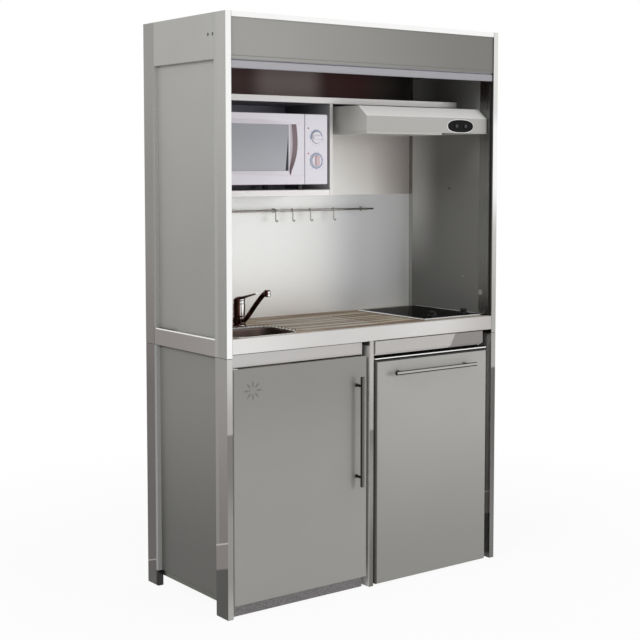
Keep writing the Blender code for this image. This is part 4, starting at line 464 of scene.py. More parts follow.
def powder_coat(
    name, colour, low_colour=None, span=(0.0, 1.0), roughness=0.42, inner=None, inner_from=None,
):
    """Baked powder paint: a fine orange peel and faint mottling. A low colour, where given, paints
    light: a slow change of tone up the sheet. Inner is the tone, with painted shade, of the face
    that looks into the cabinet."""
    paint = Finish(name, {"Specular IOR Level": 0.42})
    peel = paint.noise(520.0, detail=2.0)
    mottle = paint.noise(5.0, detail=4.0)
    base = colour(paint) if callable(colour) else colour
    if low_colour:
        base = paint.mix(paint.between(paint.z, *span), low_colour, colour)
    if inner:
        base = paint.mix(inner_from(paint), base, inner(paint))
    dusty = paint.mix(mottle * 0.10, base, (0.12, 0.12, 0.115, 1.0))
    paint.wear(dusty, roughness - 0.03 + 0.06 * mottle)
    paint.relief(peel, 0.00012, 0.25)
    return paint


def right_wall_tone(paint):
    """The right wall's inner face, with painted shade and light: dull, a little paler above, and a
    painted pool of light, palest, high up towards the splash panel."""
    dull = paint.stepped(paint.z, tone(110, 110, 107), (1.42, 1.60, tone(130, 130, 127)))
    beside_panel = paint.between(paint.y, 0.05, 0.25) * paint.between(paint.z, 1.00, 1.42)
    return paint.mix(beside_panel, dull, tone(226, 226, 222))


INNER_FACE = 0.5805
# The side panels are painted paler up the sheet, as painted light.
PANEL_TONES = (tone(170, 169, 165), tone(146, 145, 141), (0.95, 1.85))
upper_panel = powder_coat(
    "upper panel paint", *PANEL_TONES,
    inner=right_wall_tone, inner_from=lambda paint: paint.x < INNER_FACE,
)
left_upper_panel = powder_coat("left upper panel paint", *PANEL_TONES)


def lower_panel_tone(paint):
    """Painted shade on the lower panels: darker towards the floor, and a painted shadow under the rail."""
    return paint.stepped(
        paint.z, tone(82, 81, 77), (0.10, 0.80, tone(123, 122, 118)), (0.8545, 0.8560, tone(66, 65, 63)),
    )


lower_panel = powder_coat("lower panel paint", lower_panel_tone)
dress(("upper_side_panel_right",), upper_panel, EDGE)
dress(("upper_side_panel_left",), left_upper_panel, EDGE)
dress(("lower_side_panel_left", "lower_side_panel_right", "partition"), lower_panel, EDGE)


def across(x):
    """World X of a distance from the cabinet's left side."""
    return x - 0.600


def behind(y):
    """World Y of a distance behind the cabinet's front plane."""
    return y - 0.240


SCREW_DEPTHS = (0.104, 0.0765)
SCREW_HEIGHT = 1.911
SCREW_RADIUS, SCREW_SLOT = 0.0056, 0.0020
LEFT_FACE = across(0.0005)


def cover_tone(paint):
    """The covers' grey, with the two dark screws that hold the left one."""
    screws = None
    for depth in SCREW_DEPTHS:
        away = (paint.y - behind(depth)).hypot(paint.z - SCREW_HEIGHT)
        head = (away < SCREW_RADIUS) * (0.60 + 0.40 * (away > SCREW_SLOT))
        screws = head if screws is None else screws.most(head)
    return paint.mix(screws * (paint.x < LEFT_FACE), tone(172, 171, 167), tone(48, 48, 46))


box_cover = powder_coat("shutter box paint", cover_tone)
dress(("shutter_box_side_left", "shutter_box_side_right"), box_cover, EDGE)


def skin(grid, along=False, ends=True):
    """The surface over a grid of points, of which each row closes on itself: its points, its
    four-sided faces, and the fans that close its first and last rows. Along joins those two
    rows to each other instead."""
    rows, columns = grid.shape[:2]
    index = np.arange(rows * columns).reshape(rows, columns)
    walk = np.hstack([index, index[:, :1]])
    walk = np.vstack([walk, walk[:1]]) if along else walk
    quads = np.stack([walk[:-1, :-1], walk[:-1, 1:], walk[1:, 1:], walk[1:, :-1]], -1)
    points = grid.reshape(-1, 3)
    fans = np.zeros((0, 3), int)
    if ends and not along:
        points = np.vstack([points, grid[0].mean(0), grid[-1].mean(0)])
        first, last = walk[0], walk[-1]
        low = np.stack([first[1:], first[:-1], np.full(len(first) - 1, rows * columns)], -1)
        high = np.stack([last[:-1], last[1:], np.full(len(last) - 1, rows * columns + 1)], -1)
        fans = np.vstack([low, high])
    return points, quads.reshape(-1, 4), fans


def piece(name, shells, finish, body, stands_for=(), sharp=32, shade=None):
    """One object from one or more closed skins, welded and shaded smooth between its edges.
    Shade is a value for each point, from 0 to 1, that the finish may read."""
    starts = np.cumsum([0] + [len(points) for points, _, _ in shells])
    points = np.vstack([shell[0] for shell in shells])
    quads = np.vstack([shell[1] + start for shell, start in zip(shells, starts)])
    fans = np.vstack([shell[2] + start for shell, start in zip(shells, starts)])
    mesh = bpy.data.meshes.new(name)
    mesh.from_pydata(points.tolist(), [], quads.tolist() + fans.tolist())
    if shade is not None:
        layer = mesh.attributes.new("shade", "FLOAT", "POINT")
        layer.data.foreach_set("value", shade.astype(np.float32))
    weld = bmesh.new()
    weld.from_mesh(mesh)
    bmesh.ops.remove_doubles(weld, verts=weld.verts, dist=0.000002)
    bmesh.ops.recalc_face_normals(weld, faces=weld.faces)
    weld.to_mesh(mesh)
    weld.free()
    mesh.shade_smooth()
    mesh.set_sharp_from_angle(angle=math.radians(sharp))
    mesh.materials.append(finish.material)
    made = bpy.data.objects.new(name, mesh)
    bpy.context.scene.collection.objects.link(made)
    even = made.modifiers.new("even shading", "WEIGHTED_NORMAL")
    even.keep_sharp = True
    if stands_for:
        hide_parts(*stands_for)
    if body:
        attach(made, body)
    return made


def turned(profile, middle, axis="Z", sides=48):
    """A turned surface. Each point of the profile, a radius and a height, goes round the axis:
    one coordinate is the radius times the cosine of the angle, the next is the radius times
    its sine, and the third, along the axis, is the height."""
    angle = np.linspace(0, math.tau, sides, endpoint=False)
    radius, height = np.asarray(profile, float).T
    first, second, third = {"X": (1, 2, 0), "Y": (2, 0, 1), "Z": (0, 1, 2)}[axis]
    grid = np.empty((len(radius), sides, 3))
    grid[..., first] = radius[:, None] * np.cos(angle)
    grid[..., second] = radius[:, None] * np.sin(angle)
    grid[..., third] = height[:, None]
    return skin(grid + np.asarray(middle, float))


def softened(points, radius, steps=4):
    """A line of points with round corners. Each corner becomes a curve from a start to an end
    that lie up to a radius before and after it. A point of the curve is the start times the
    square of what is left of the way, plus the corner times twice what is left times what is
    gone, plus the end times the square of what is gone."""
    points = np.asarray(points, float)
    back = np.roll(points, 1, 0) - points
    forth = np.roll(points, -1, 0) - points
    back_length = np.maximum(np.linalg.norm(back, axis=1, keepdims=True), 1e-9)
    forth_length = np.maximum(np.linalg.norm(forth, axis=1, keepdims=True), 1e-9)
    reach = np.minimum(radius, 0.49 * np.minimum(back_length, forth_length))
    start = (points + back / back_length * reach)[:, None]
    end = (points + forth / forth_length * reach)[:, None]
    t = np.linspace(0, 1, steps + 1)[None, :, None]
    curve = (1 - t) ** 2 * start + 2 * t * (1 - t) * points[:, None] + t ** 2 * end
    return np.vstack([points[:1], curve[1:-1].reshape(-1, points.shape[1]), points[-1:]])


# The plugs and screw holes left in the right wall.
plug_white = Finish("wall plug", {"Roughness": 0.45})
plug_faces = plug_white.mix(plug_white.noise(60.0), tone(126, 126, 122), tone(152, 152, 148))
# Painted shade: the disc above 1.2 m, a screw hole, is painted dark.
plug_white.wear(plug_white.mix(plug_white.z > 1.2, plug_faces, tone(44, 43, 42)))
for n, (depth, height, radius) in enumerate((
    (0.239, 1.401, 0.0045), (0.160, 1.066, 0.004), (0.061, 1.011, 0.011),
)):
    rim = [
        (0, 0), (radius, 0), (radius, 0.0008), (radius * 0.82, 0.0013), (radius * 0.7, 0.0008),
        (0, 0.0008),
    ]
    disc = turned(np.array(rim) * (1, -1), (across(1.1779), behind(depth), height), "X", 32)
    piece(f"wall_plug_{n}", [disc], plug_white, "cabinet")


# ----------------------------------------
# The rear wall. Three sheets are screwed to the rear posts: a painted lower one with air
# slots, a bright steel splash panel behind the worktop, and a cream one above it.

SHEET_MIDDLE = 0.4815
NICHE_TOP = 1.72
SHELF_UNDER, NICHE_RIGHT, SHEET_FRONT = 1.715, -0.025, 0.2405
splash_steel = Finish("splash panel steel", {})
splash_grain = splash_steel.scratches((0.02, 1.0, 1.0))
# Painted reflections: the splash panel's face steps through paler and duller tones across its width, and
# its back is plain.
splash_front = splash_steel.stepped(
    splash_steel.x, tone(252, 252, 250), (0.10, 0.28, tone(240, 241, 242)),
    (0.46, 0.56, tone(250, 252, 252)),
)
splash_rear = splash_steel.y > behind(SHEET_MIDDLE)
splash_across = splash_steel.mix(splash_rear, splash_front, tone(150, 150, 148))
splash_steel.wear(
    splash_steel.mix(splash_grain * 0.12, splash_across, (0.25, 0.25, 0.25, 1.0)),
    0.34 + 0.08 * splash_grain,
)
splash_steel.give(splash_steel.shader, {
    "Metallic": 0.78 - 0.18 * splash_steel.between(splash_steel.x, -0.05, 0.20)
        - 0.4 * splash_steel.between(splash_steel.x, 0.30, 0.56),
})
splash_steel.relief(splash_grain, 0.00005, 0.3)
dress(("backsplash",), splash_steel)


def upper_wall_tone(paint):
    """Painted shade and reflections on the wall above the top shelf, which lies deep in the box: brown,
    with a paler band; and painted shade on the niche's wall behind the oven."""
    above = paint.stepped(
        paint.x, tone(86, 60, 60), (-0.21, -0.10, tone(150, 134, 134)), (0.07, 0.17, tone(74, 42, 42)),
        (0.30, 0.45, tone(62, 56, 52)),
    )
    return paint.mix(paint.z > NICHE_TOP, tone(146, 146, 158), above)


def cream_tone(paint):
    """The cream sheet carries painted light and shade: palest low on its left, with a painted shadow under
    the hood's far end.
    """
    across_sheet = paint.x + (paint.z - 1.377) * 0.9
    front = paint.mix(paint.between(across_sheet, 0.15, 0.62), tone(255, 254, 250), tone(196, 189, 185))
    return paint.mix(paint.y > behind(SHEET_MIDDLE), front, tone(186, 185, 181))


cream_paint = powder_coat(
    "cream wall paint", cream_tone, roughness=0.38,
    inner=upper_wall_tone,
    inner_from=lambda paint: (
        ((paint.z > SHELF_UNDER) + (paint.x < NICHE_RIGHT)).least(1.0) * (paint.y < SHEET_FRONT)
    ),
)
dress(("upper_back_panel",), cream_paint)
dress(("lower_back_panel",), powder_coat("rear wall paint", tone(150, 149, 145)))


# ----------------------------------------
# The cupboard's floor is a white faced board with a notch for the post. The plinth and the
# rail under the worktop are folded steel, ground along their length, with the door's pivots.


def laminate(name, colour):
    """White melamine on board: hard and even, with a faint print of the press plate."""
    board = Finish(name, {"Specular IOR Level": 0.45})
    pores = board.noise(260.0, detail=3.0)
    clouds = board.noise(4.0)
    colour = colour(board) if callable(colour) else colour
    printed = board.mix(clouds * 0.08 + pores * 0.04, colour, (0.5, 0.49, 0.48, 1.0))
    board.wear(printed, 0.34 + 0.08 * pores)
    board.relief(pores, 0.00008, 0.2)
    return board


dress(("base_shelf",), laminate("cupboard floor laminate", tone(222, 220, 216)), 0.0008)


def apron_fronts(steel):
    """The rail's face has painted light, paler towards the left, and painted shade where it meets the
    worktop.
    """
    face = steel.mix(steel.between(steel.x, -0.60, 0.10), tone(196, 194, 192), tone(190, 186, 184))
    return steel.mix(steel.z > BAND_LOW - BAND_SHADE, face, tone(104, 103, 101))


BAND_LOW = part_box("worktop")[0].z
BAND_SHADE = 0.0048
rail_steel = ground_steel("rail steel", apron_fronts, tone(120, 119, 116), 0, 0.3)


def plinth_fronts(steel):
    """The plinth's rough mill finish is mottled."""
    mottle = steel.between(steel.noise(240.0, detail=4.0), 0.40, 0.62)
    return steel.mix(mottle, tone(98, 96, 96), tone(124, 122, 122))


plinth_steel = ground_steel("plinth steel", plinth_fronts, tone(120, 118, 114), 0, 0.36)
dress(("apron_rail",), rail_steel, EDGE)
dress(("plinth_strip",), plinth_steel, EDGE)


# ----------------------------------------
# The worktop is one sheet of stainless steel with a deep folded band in front. The drainer's
# grooves are pressed into it, and a bright rolled bead runs round the hole for the bowl.

BOWL_MIDDLE = (across(0.1825), behind(0.1355))
BOWL_HALF = (0.1375, 0.114)
GROOVE_FRONT = behind(0.075)
GROOVE_PITCH, GROOVE_HALF, GROOVES = 0.027, 0.19, 12.0
DRAIN_LEFT, DRAIN_RIGHT = -0.236, 0.096
RIB_PITCH = 0.020
TOP_LIP = behind(0.022)
top_steel = Finish("worktop steel", {
    "Metallic": 0.30, "Specular Tint": (0.50, 0.45, 0.38, 1.0), "Specular IOR Level": 0.0,
})
top_grain = top_steel.scratches()
top_clouds = top_steel.noise(36.0, (0.05, 1.0, 1.0), 3.0)
top_front = top_steel.between(top_steel.facing("Y"), 0.4, 0.9)
# Painted reflections: the folded band's face steps through paler and duller tones across its width.
top_band = top_steel.stepped(
    top_steel.x, tone(226, 225, 223), (-0.60, -0.15, tone(206, 205, 203)),
    (0.0, 0.25, tone(212, 210, 208)), (0.30, 0.60, tone(184, 180, 177)),
)
groove_row = (top_steel.y - GROOVE_FRONT) / GROOVE_PITCH + 0.5
groove = (top_steel.math("FRACT", groove_row) - 0.5).size() < GROOVE_HALF
# Painted shade in the drainer's grooves.
groove_shade = groove * (top_steel.x > DRAIN_LEFT) * (top_steel.x < DRAIN_RIGHT)
groove_shade = groove_shade * (groove_row > 0.0) * (groove_row < GROOVES)
# Painted reflections: beige and brown clouds on the top sheet.
top_sheet = top_steel.mix(
    top_steel.between(top_clouds, 0.42, 0.58), tone(236, 226, 202), tone(166, 142, 124),
)
top_sheet = top_steel.mix(groove_shade * 0.80, top_sheet, tone(58, 40, 34))
from_bowl = (
    ((top_steel.x - BOWL_MIDDLE[0]).size() / BOWL_HALF[0]) ** 4.0
    + ((top_steel.y - BOWL_MIDDLE[1]).size() / BOWL_HALF[1]) ** 4.0
) ** 0.25
# Painted highlights and shade: bright and dark dashes where the pressed ribs end beside the bowl.
rib_ends = (from_bowl > 1.04) * (from_bowl < 1.20) * (top_steel.y > BOWL_MIDDLE[1] - 0.06)
rib_turn = ((top_steel.x - top_steel.y) * (math.tau / RIB_PITCH)).wave()
rib_light_and_shade = top_steel.mix(rib_turn > 0.0, tone(250, 248, 244), tone(60, 36, 30))
top_sheet = top_steel.mix(rib_ends * 0.9, top_sheet, rib_light_and_shade)
top_sheet = top_steel.mix(top_steel.y < TOP_LIP, top_sheet, tone(240, 238, 232))
top_tone = top_steel.mix(top_front, top_sheet, top_band)
top_steel.wear(
    top_steel.mix(top_grain * 0.14, top_tone, (0.25, 0.24, 0.23, 1.0)),
    0.09 + 0.07 * top_grain + 0.04 * top_clouds,
)
top_steel.relief(top_grain, 0.00005, 0.3)
dress(("worktop",), top_steel, 0.0005)


def circle(angle):
    """Points of the unit circle: the cosine and the sine of each angle."""
    return np.stack([np.cos(angle), np.sin(angle)], -1)


def round_corners(half_x, half_y, corner, steps=16):
    """An outline of four quarter circles, joined by straight sides: the middle of each quarter,
    plus the corner's radius times the cosine and the sine of the angle."""
    angle = np.linspace(0, math.pi / 2, steps + 1) + np.arange(4)[:, None] * math.pi / 2
    quarters = np.array([(1, 1), (-1, 1), (-1, -1), (1, -1)])[:, None]
    return (quarters * (half_x - corner, half_y - corner) + corner * circle(angle)).reshape(-1, 2)


def moved_in(outline, inset):
    """An anticlockwise outline moved inwards. Each corner goes in by the inset times the sum of
    its two sides' outward directions, over one plus the product of the two directions, so that
    both sides move alike."""
    side = np.roll(outline, -1, 0) - outline
    length = np.maximum(np.linalg.norm(side, axis=1, keepdims=True), 1e-9)
    out = np.stack([side[:, 1], -side[:, 0]], -1) / length
    before = np.roll(out, 1, 0)
    mitre = (out + before) / (1 + np.sum(out * before, 1, keepdims=True))
    return outline - mitre * inset


def carried(outline, profile, middle, axis="Z", ring=False):
    """A profile carried round an outline. For each point of the profile, an inset and a height,
    the outline is moved in by the inset and lifted by the height along the axis. A ring's
    profile closes on itself."""
    rows = np.stack([moved_in(outline, inset) for inset, _ in profile])
    height = np.asarray(profile)[:, 1][:, None, None]
    flat = np.concatenate([rows, np.broadcast_to(height, rows.shape[:2] + (1,))], -1)
    order = (0, 2, 1) if axis == "Y" else (0, 1, 2)
    return skin(flat[..., order] + np.asarray(middle, float), along=ring)


BOWL_CORNER = 0.068
TOP = 0.926
bead = circle(np.linspace(0, math.tau, 12, endpoint=False)) * (0.0019, 0.0012) + (0.0007, 0)
bowl_steel = ground_steel("bowl steel", tone(138, 118, 109), tone(108, 91, 84), 2, 0.42)
bead_steel = ground_steel("bead steel", tone(245, 245, 243), tone(235, 235, 232), 2, 0.12)
bowl_outline = round_corners(*BOWL_HALF, BOWL_CORNER)
piece(
    "bowl_bead", [carried(bowl_outline, bead, (*BOWL_MIDDLE, TOP + 0.0004), ring=True)],
    bead_steel, "cabinet",
)


# ----------------------------------------
# The bowl is deep drawn from one sheet and welded under the worktop. A chromed strainer sits
# in its outlet, and a white plastic bottle trap is screwed on below.

UNDER = TOP - 0.0043
BOWL_LOW = 0.792
DRAWN_SHEET = 0.0015
OUTLET = 0.028
wall_rows = softened(
    [(-0.008, UNDER), (0.0015, UNDER), (0.0055, BOWL_LOW), (0.070, BOWL_LOW - 0.001)],
    [[0.0], [0.005], [0.026], [0.0]], steps=10,
)
wall_rows = wall_rows[wall_rows[:, 0] < 0.045]
round_outlet = OUTLET * circle(np.arctan2(bowl_outline[:, 1], bowl_outline[:, 0]))
edge_ring = moved_in(bowl_outline, wall_rows[-1, 0])
fall = np.linspace(0, 1, 9)[1:, None, None]
floor_rows = (1 - fall) * edge_ring + fall * round_outlet
floor_height = np.broadcast_to(wall_rows[-1, 1] - 0.0012 * fall, floor_rows.shape[:2] + (1,))
upper_rows = np.stack([
    np.column_stack([moved_in(bowl_outline, inset), np.full(len(bowl_outline), height)])
    for inset, height in wall_rows
])
inner_skin = np.concatenate([upper_rows, np.concatenate([floor_rows, floor_height], -1)])
inward = np.zeros_like(inner_skin)
inward[..., 2] = -DRAWN_SHEET
middle_line = np.linalg.norm(inner_skin[..., :2], axis=-1, keepdims=True)
inward[..., :2] = inner_skin[..., :2] / middle_line * DRAWN_SHEET * 0.9
outer_skin = (inner_skin + inward)[::-1]
bowl_grid = np.concatenate([inner_skin, outer_skin]) + np.array([*BOWL_MIDDLE, 0.0])
piece(
    "drawn_bowl", [skin(bowl_grid, along=True)], bowl_steel, "cabinet", ("sink_bowl",),
)


def clouded(name, sockets, scale, first, second, share=1.0, roughness=None, detail=2.0):
    """An even material: one noise mixes its two tones, the second one by a share, and adds to
    its roughness, which is given as the least value and what the noise adds."""
    made = Finish(name, sockets)
    cloud = made.noise(scale, detail=detail)
    colour = made.mix(cloud * share, first, second)
    made.wear(colour, roughness and roughness[0] + roughness[1] * cloud)
    return made


dress(("sink_trap",), clouded(
    "trap plastic", {"Roughness": 0.35, "Specular IOR Level": 0.5}, 30.0,
    tone(232, 232, 228), tone(196, 196, 190), 0.3,
))
STRAINER_LOW = 0.7924
strainer = [
    (0, 0.0006), (0.006, 0.0034), (0.0085, 0.0036), (0.010, 0.0012), (0.019, 0.0006), (0.026, 0.0016),
    (0.0335, 0.0022), (0.0345, 0.0012), (0.0345, 0.0002), (0, 0.0001),
]
chrome = clouded(
    "chrome", {"Metallic": 1.0}, 24.0, tone(176, 172, 168), tone(206, 203, 199),
    roughness=(0.07, 0.06), detail=3.0,
)
piece(
    "sink_strainer", [turned(softened(strainer, 0.0006), (*BOWL_MIDDLE, STRAINER_LOW))],
    chrome, "cabinet",
)


# ----------------------------------------
# The tap is cast brass, polished and chromed. The spout swings on a ring round the body's
# neck, and the lever's dome sits on a collar that turns with it.


def box_middle(node):
    """The middle of a node's box."""
    return tuple((low + high) / 2 for low, high in zip(*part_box(node)))


TAP = box_middle("tap_body")[:2]
TAP_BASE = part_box("tap_body")[0].z
reflection_painted_chrome = Finish("tap chrome", {"Metallic": 1.0})
# Painted reflections on the tap: brown clouds drawn out upright, and a painted white glint on faces that
# look forward.
tap_cloud = reflection_painted_chrome.noise(70.0, (1.0, 1.0, 0.05), 1.0)
tap_reflection_tone = reflection_painted_chrome.mix(reflection_painted_chrome.between(tap_cloud, 0.42, 0.58), tone(58, 34, 32), tone(112, 78, 70))
tap_glint = reflection_painted_chrome.between(0.0 - reflection_painted_chrome.direction("Y"), 0.90, 0.96)
reflection_painted_chrome.wear(reflection_painted_chrome.mix(tap_glint, tap_reflection_tone, tone(250, 249, 248)), 0.06 + 0.05 * tap_cloud)
body_profile = [
    (0, 0.0), (0.0250, 0.0), (0.0250, 0.0030), (0.0215, 0.0075), (0.0165, 0.0080), (0.0165, 0.0320),
    (0.0200, 0.0322), (0.0213, 0.0350), (0.0215, 0.0760), (0.0209, 0.0778), (0, 0.0778),
]
piece(
    "tap_casting", [turned(softened(body_profile, 0.0012), (*TAP, TAP_BASE), sides=64)],
    reflection_painted_chrome, "cabinet", ("tap_body",),
)
collar_low, collar_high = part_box("tap_collar")
collar_height = collar_high.z - collar_low.z
collar_profile = [(0, 0), (0.0204, 0), (0.0204, collar_height), (0, collar_height)]
piece(
    "tap_turning_collar",
    [turned(softened(collar_profile, 0.0010), (*TAP, collar_low.z), sides=64)],
    reflection_painted_chrome, "tap_collar", ("tap_collar",),
)


def flowing(points, steps=8):
    """A Catmull-Rom curve through points. From b to c, with a before and d after them, it is
    half of: twice b, plus c less a by the way gone, plus twice a less five b plus four c less d
    by its square, plus three b less a less three c plus d by its cube."""
    points = np.asarray(points, float)
    points = np.vstack([2 * points[0] - points[1], points, 2 * points[-1] - points[-2]])
    a, b, c, d = points[:-3, None], points[1:-2, None], points[2:-1, None], points[3:, None]
    t = np.linspace(0, 1, steps, endpoint=False)[None, :, None]
    curve = 2 * b + (c - a) * t + (2 * a - 5 * b + 4 * c - d) * t ** 2
    curve = (curve + (3 * b - a - 3 * c + d) * t ** 3) / 2
    return np.vstack([curve.reshape(-1, points.shape[1]), points[-2:-1]])


def tube(path, radius, sides, flat=1.0):
    """A bar along a path. At each point a ring lies square to the path: the radius times the
    cosine of the angle along the cabinet's width, made square to the path, plus the radius
    times the sine along the cross product of the two, which flat makes shorter."""
    path = np.asarray(path, float)
    forward = np.gradient(path, axis=0)
    forward /= np.linalg.norm(forward, axis=1, keepdims=True)
    u = np.array([1.0, 0.0, 0.0]) - forward[:, :1] * forward
    u /= np.linalg.norm(u, axis=1, keepdims=True)
    v = np.cross(forward, u)
    angle = np.linspace(0, math.tau, sides, endpoint=False)[None, :, None]
    reach = np.broadcast_to(np.asarray(radius, float), (len(path),))[:, None, None]
    thin = np.broadcast_to(np.asarray(flat, float), (len(path),))[:, None, None]
    ring = np.cos(angle) * u[:, None] + np.sin(angle) * v[:, None] * thin
    return skin(path[:, None] + reach * ring)


SPOUT_REACH, SPOUT_RISE, SPOUT_ASIDE = 0.157, 0.108, 0.013
spout_out = np.array([0.08, 0.19, 0.27, 0.38, 0.63, 0.83, 0.94, 1.00]) * SPOUT_REACH
spout_up = np.array([0.0, 0.01, 0.07, 0.21, 0.59, 0.87, 0.98, 1.00]) * SPOUT_RISE
spout_side = np.array([0.0, 0.0, 0.02, 0.10, 0.45, 0.80, 0.95, 1.00]) * SPOUT_ASIDE
spout_level = TAP_BASE + 0.020
spout_line = flowing(np.stack([TAP[0] + spout_side, TAP[1] - spout_out, spout_level + spout_up], -1))
ring_profile = [(0.0168, -0.0115), (0.0226, -0.0115), (0.0226, 0.0115), (0.0168, 0.0115)]
spout_ring = turned(softened(ring_profile + ring_profile[:1], 0.0012), (*TAP, spout_level), sides=64)
outlet_profile = [
    (0, -0.0155), (0.0095, -0.0155), (0.0100, -0.0135), (0.0120, -0.0135), (0.0120, -0.0050),
    (0.0112, -0.0042), (0.0112, -0.0030), (0.0120, -0.0022), (0.0120, 0.0040), (0.0085, 0.0085),
    (0, 0.0085),
]
outlet = turned(softened(outlet_profile, 0.0010), spout_line[-1])
piece(
    "tap_swing_spout", [spout_ring, tube(spout_line, 0.0085, sides=32), outlet],
    reflection_painted_chrome, "tap_spout", ("tap_spout",),
)
lever_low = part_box("tap_lever")[0].z
dome_profile = [(0, 0), (0.0213, 0), (0.0214, 0.0030), (0.0196, 0.0070), (0.0130, 0.0097), (0, 0.0102)]
LEVER_RISE = 0.22
dome, dome_quads, dome_fans = turned(softened(dome_profile, 0.0020), (*TAP, lever_low), sides=64)
dome[:, 2] += LEVER_RISE * (TAP[1] - dome[:, 1]) * np.clip((dome[:, 2] - lever_low) / 0.0080, 0, 1)
lever_line = flowing([(TAP[0], TAP[1] + back, lever_low + up) for back, up in (
    (0.014, 0.0042), (-0.002, 0.0076), (-0.020, 0.0112), (-0.045, 0.0172), (-0.080, 0.0256),
    (-0.1115, 0.0332),
)])
share = np.linspace(0, 1, len(lever_line))
lever_width = np.interp(
    share, [0, 0.1, 0.3, 0.5, 0.92, 1.0], [0.0085, 0.0165, 0.0165, 0.0120, 0.0092, 0.0060],
)
lever_flat = np.interp(share, [0, 0.1, 0.3, 0.6, 1.0], [0.45, 0.42, 0.44, 0.40, 0.28])
piece(
    "tap_blade", [
        (dome, dome_quads, dome_fans), tube(lever_line, lever_width, sides=32, flat=lever_flat),
    ], reflection_painted_chrome, "tap_lever", ("tap_lever",),
)


# ----------------------------------------
# The hob: black glass set in a chromed frame with three fine beads, over a steel box that
# hangs in the worktop. Two moulded knobs stand on the glass.


def rounded_block(low, high, radius, steps=4):
    """A box with round edges. Each direction of a sphere, with the longitude and the latitude
    as its angles, is scaled by the radius and added to the corner of the inner box that it
    points to."""
    low, high = np.asarray(low, float), np.asarray(high, float)
    turn = np.linspace(0, math.pi / 2, steps + 1)
    quarter = np.repeat(np.arange(4), steps + 1)
    a = np.tile(turn, 4) + quarter * math.pi / 2
    b = np.concatenate([turn - math.pi / 2, turn])[:, None]
    half = np.repeat([-1.0, 1.0], steps + 1)[:, None]
    flat = np.ones_like(a)
    n = np.stack([np.cos(b) * np.cos(a), np.cos(b) * np.sin(a), np.sin(b) * flat], -1)
    corner = np.stack([
        np.array([1, -1, -1, 1])[quarter] * np.ones_like(b),
        np.array([1, 1, -1, -1])[quarter] * np.ones_like(b),
        half * flat,
    ], -1)
    return skin((low + high) / 2 + corner * ((high - low) / 2 - radius) + radius * n)


hob_low, hob_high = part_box("hob_frame")
HOB_MIDDLE = box_middle("hob_frame")[:2]
HOB_HALF = ((hob_high.x - hob_low.x) / 2, (hob_high.y - hob_low.y) / 2)
FRAME_LOW = TOP + 0.0003
BOX_IN = 0.0172
frame_profile = [
    (0.0002, 0.0), (0.0, 0.0030), (0.0010, 0.0052), (0.0024, 0.0059), (0.0036, 0.0059), (0.0042, 0.0046),
    (0.0048, 0.0046), (0.0054, 0.0059), (0.0070, 0.0059), (0.0076, 0.0046), (0.0082, 0.0046),
    (0.0088, 0.0059), (0.0108, 0.0059), (0.0119, 0.0050), (0.0119, 0.0006), (0.0119, 0.0),
]
hob_rim = carried(round_corners(*HOB_HALF, 0.010, 6), frame_profile, (*HOB_MIDDLE, FRAME_LOW), ring=True)
hob_box = rounded_block(
    (hob_low.x + BOX_IN, hob_low.y + BOX_IN, hob_low.z),
    (hob_high.x - BOX_IN, hob_high.y - BOX_IN, TOP + 0.0005), 0.002,
)
frame_chrome = Finish("hob frame chrome", {"Metallic": 1.0})
frame_cloud = frame_chrome.noise(9.0, detail=3.0)
inset_x = HOB_HALF[0] - (frame_chrome.x - HOB_MIDDLE[0]).size()
inset_y = HOB_HALF[1] - (frame_chrome.y - HOB_MIDDLE[1]).size()
frame_height = frame_chrome.z - FRAME_LOW
outer_side = inset_x.least(inset_y) < 0.0030
# Painted shade: the frame is painted dark in the grooves between the beads, low on its inner faces and in a
# band round its outer side.
bead_height = frame_chrome.between(frame_height, 0.0048, 0.0056).most(
    outer_side * (1.0 - (frame_height > 0.0018) * (frame_height < 0.0036)),
)
frame_pale = frame_chrome.mix(frame_cloud, tone(214, 213, 211), tone(246, 245, 243))
frame_chrome.wear(frame_chrome.mix(bead_height, tone(40, 38, 38), frame_pale), 0.10 + 0.06 * frame_cloud)
piece("hob_beaded_frame", [hob_rim, hob_box], frame_chrome, "cabinet", ("hob_frame",))

# The rings printed on the glass: how far each middle lies behind the hob's own, and its radius.
ZONES = ((0.100, 0.090), (-0.052, 0.073))
RING_HALF = 0.0012
hob_glass = Finish("hob glass", {
    "Roughness": 0.08, "Metallic": 1.0, "Specular Tint": (0.03, 0.027, 0.027, 1.0),
})
glass_speck = hob_glass.between(hob_glass.noise(800.0), 0.66, 0.7)
zone_lines = None
for offset, radius in ZONES:
    away = (hob_glass.x - HOB_MIDDLE[0]).hypot(hob_glass.y - (HOB_MIDDLE[1] + offset))
    line = (away - radius).size() < RING_HALF
    zone_lines = line if zone_lines is None else zone_lines.most(line)
glass_black = hob_glass.mix(glass_speck, tone(14, 13, 14), tone(40, 40, 42))
hob_glass.wear(hob_glass.mix(zone_lines, glass_black, tone(92, 92, 92)))
dress(("hob_glass",), hob_glass, 0.0003)

black_plastic = Finish("knob plastic", {"Specular IOR Level": 0.3})
plastic_grain = black_plastic.noise(1100.0)
black_plastic.wear(
    black_plastic.mix(plastic_grain * 0.4, tone(14, 14, 15), tone(34, 34, 35)),
    0.28 + 0.14 * plastic_grain,
)
black_plastic.relief(plastic_grain, 0.00010, 0.3)


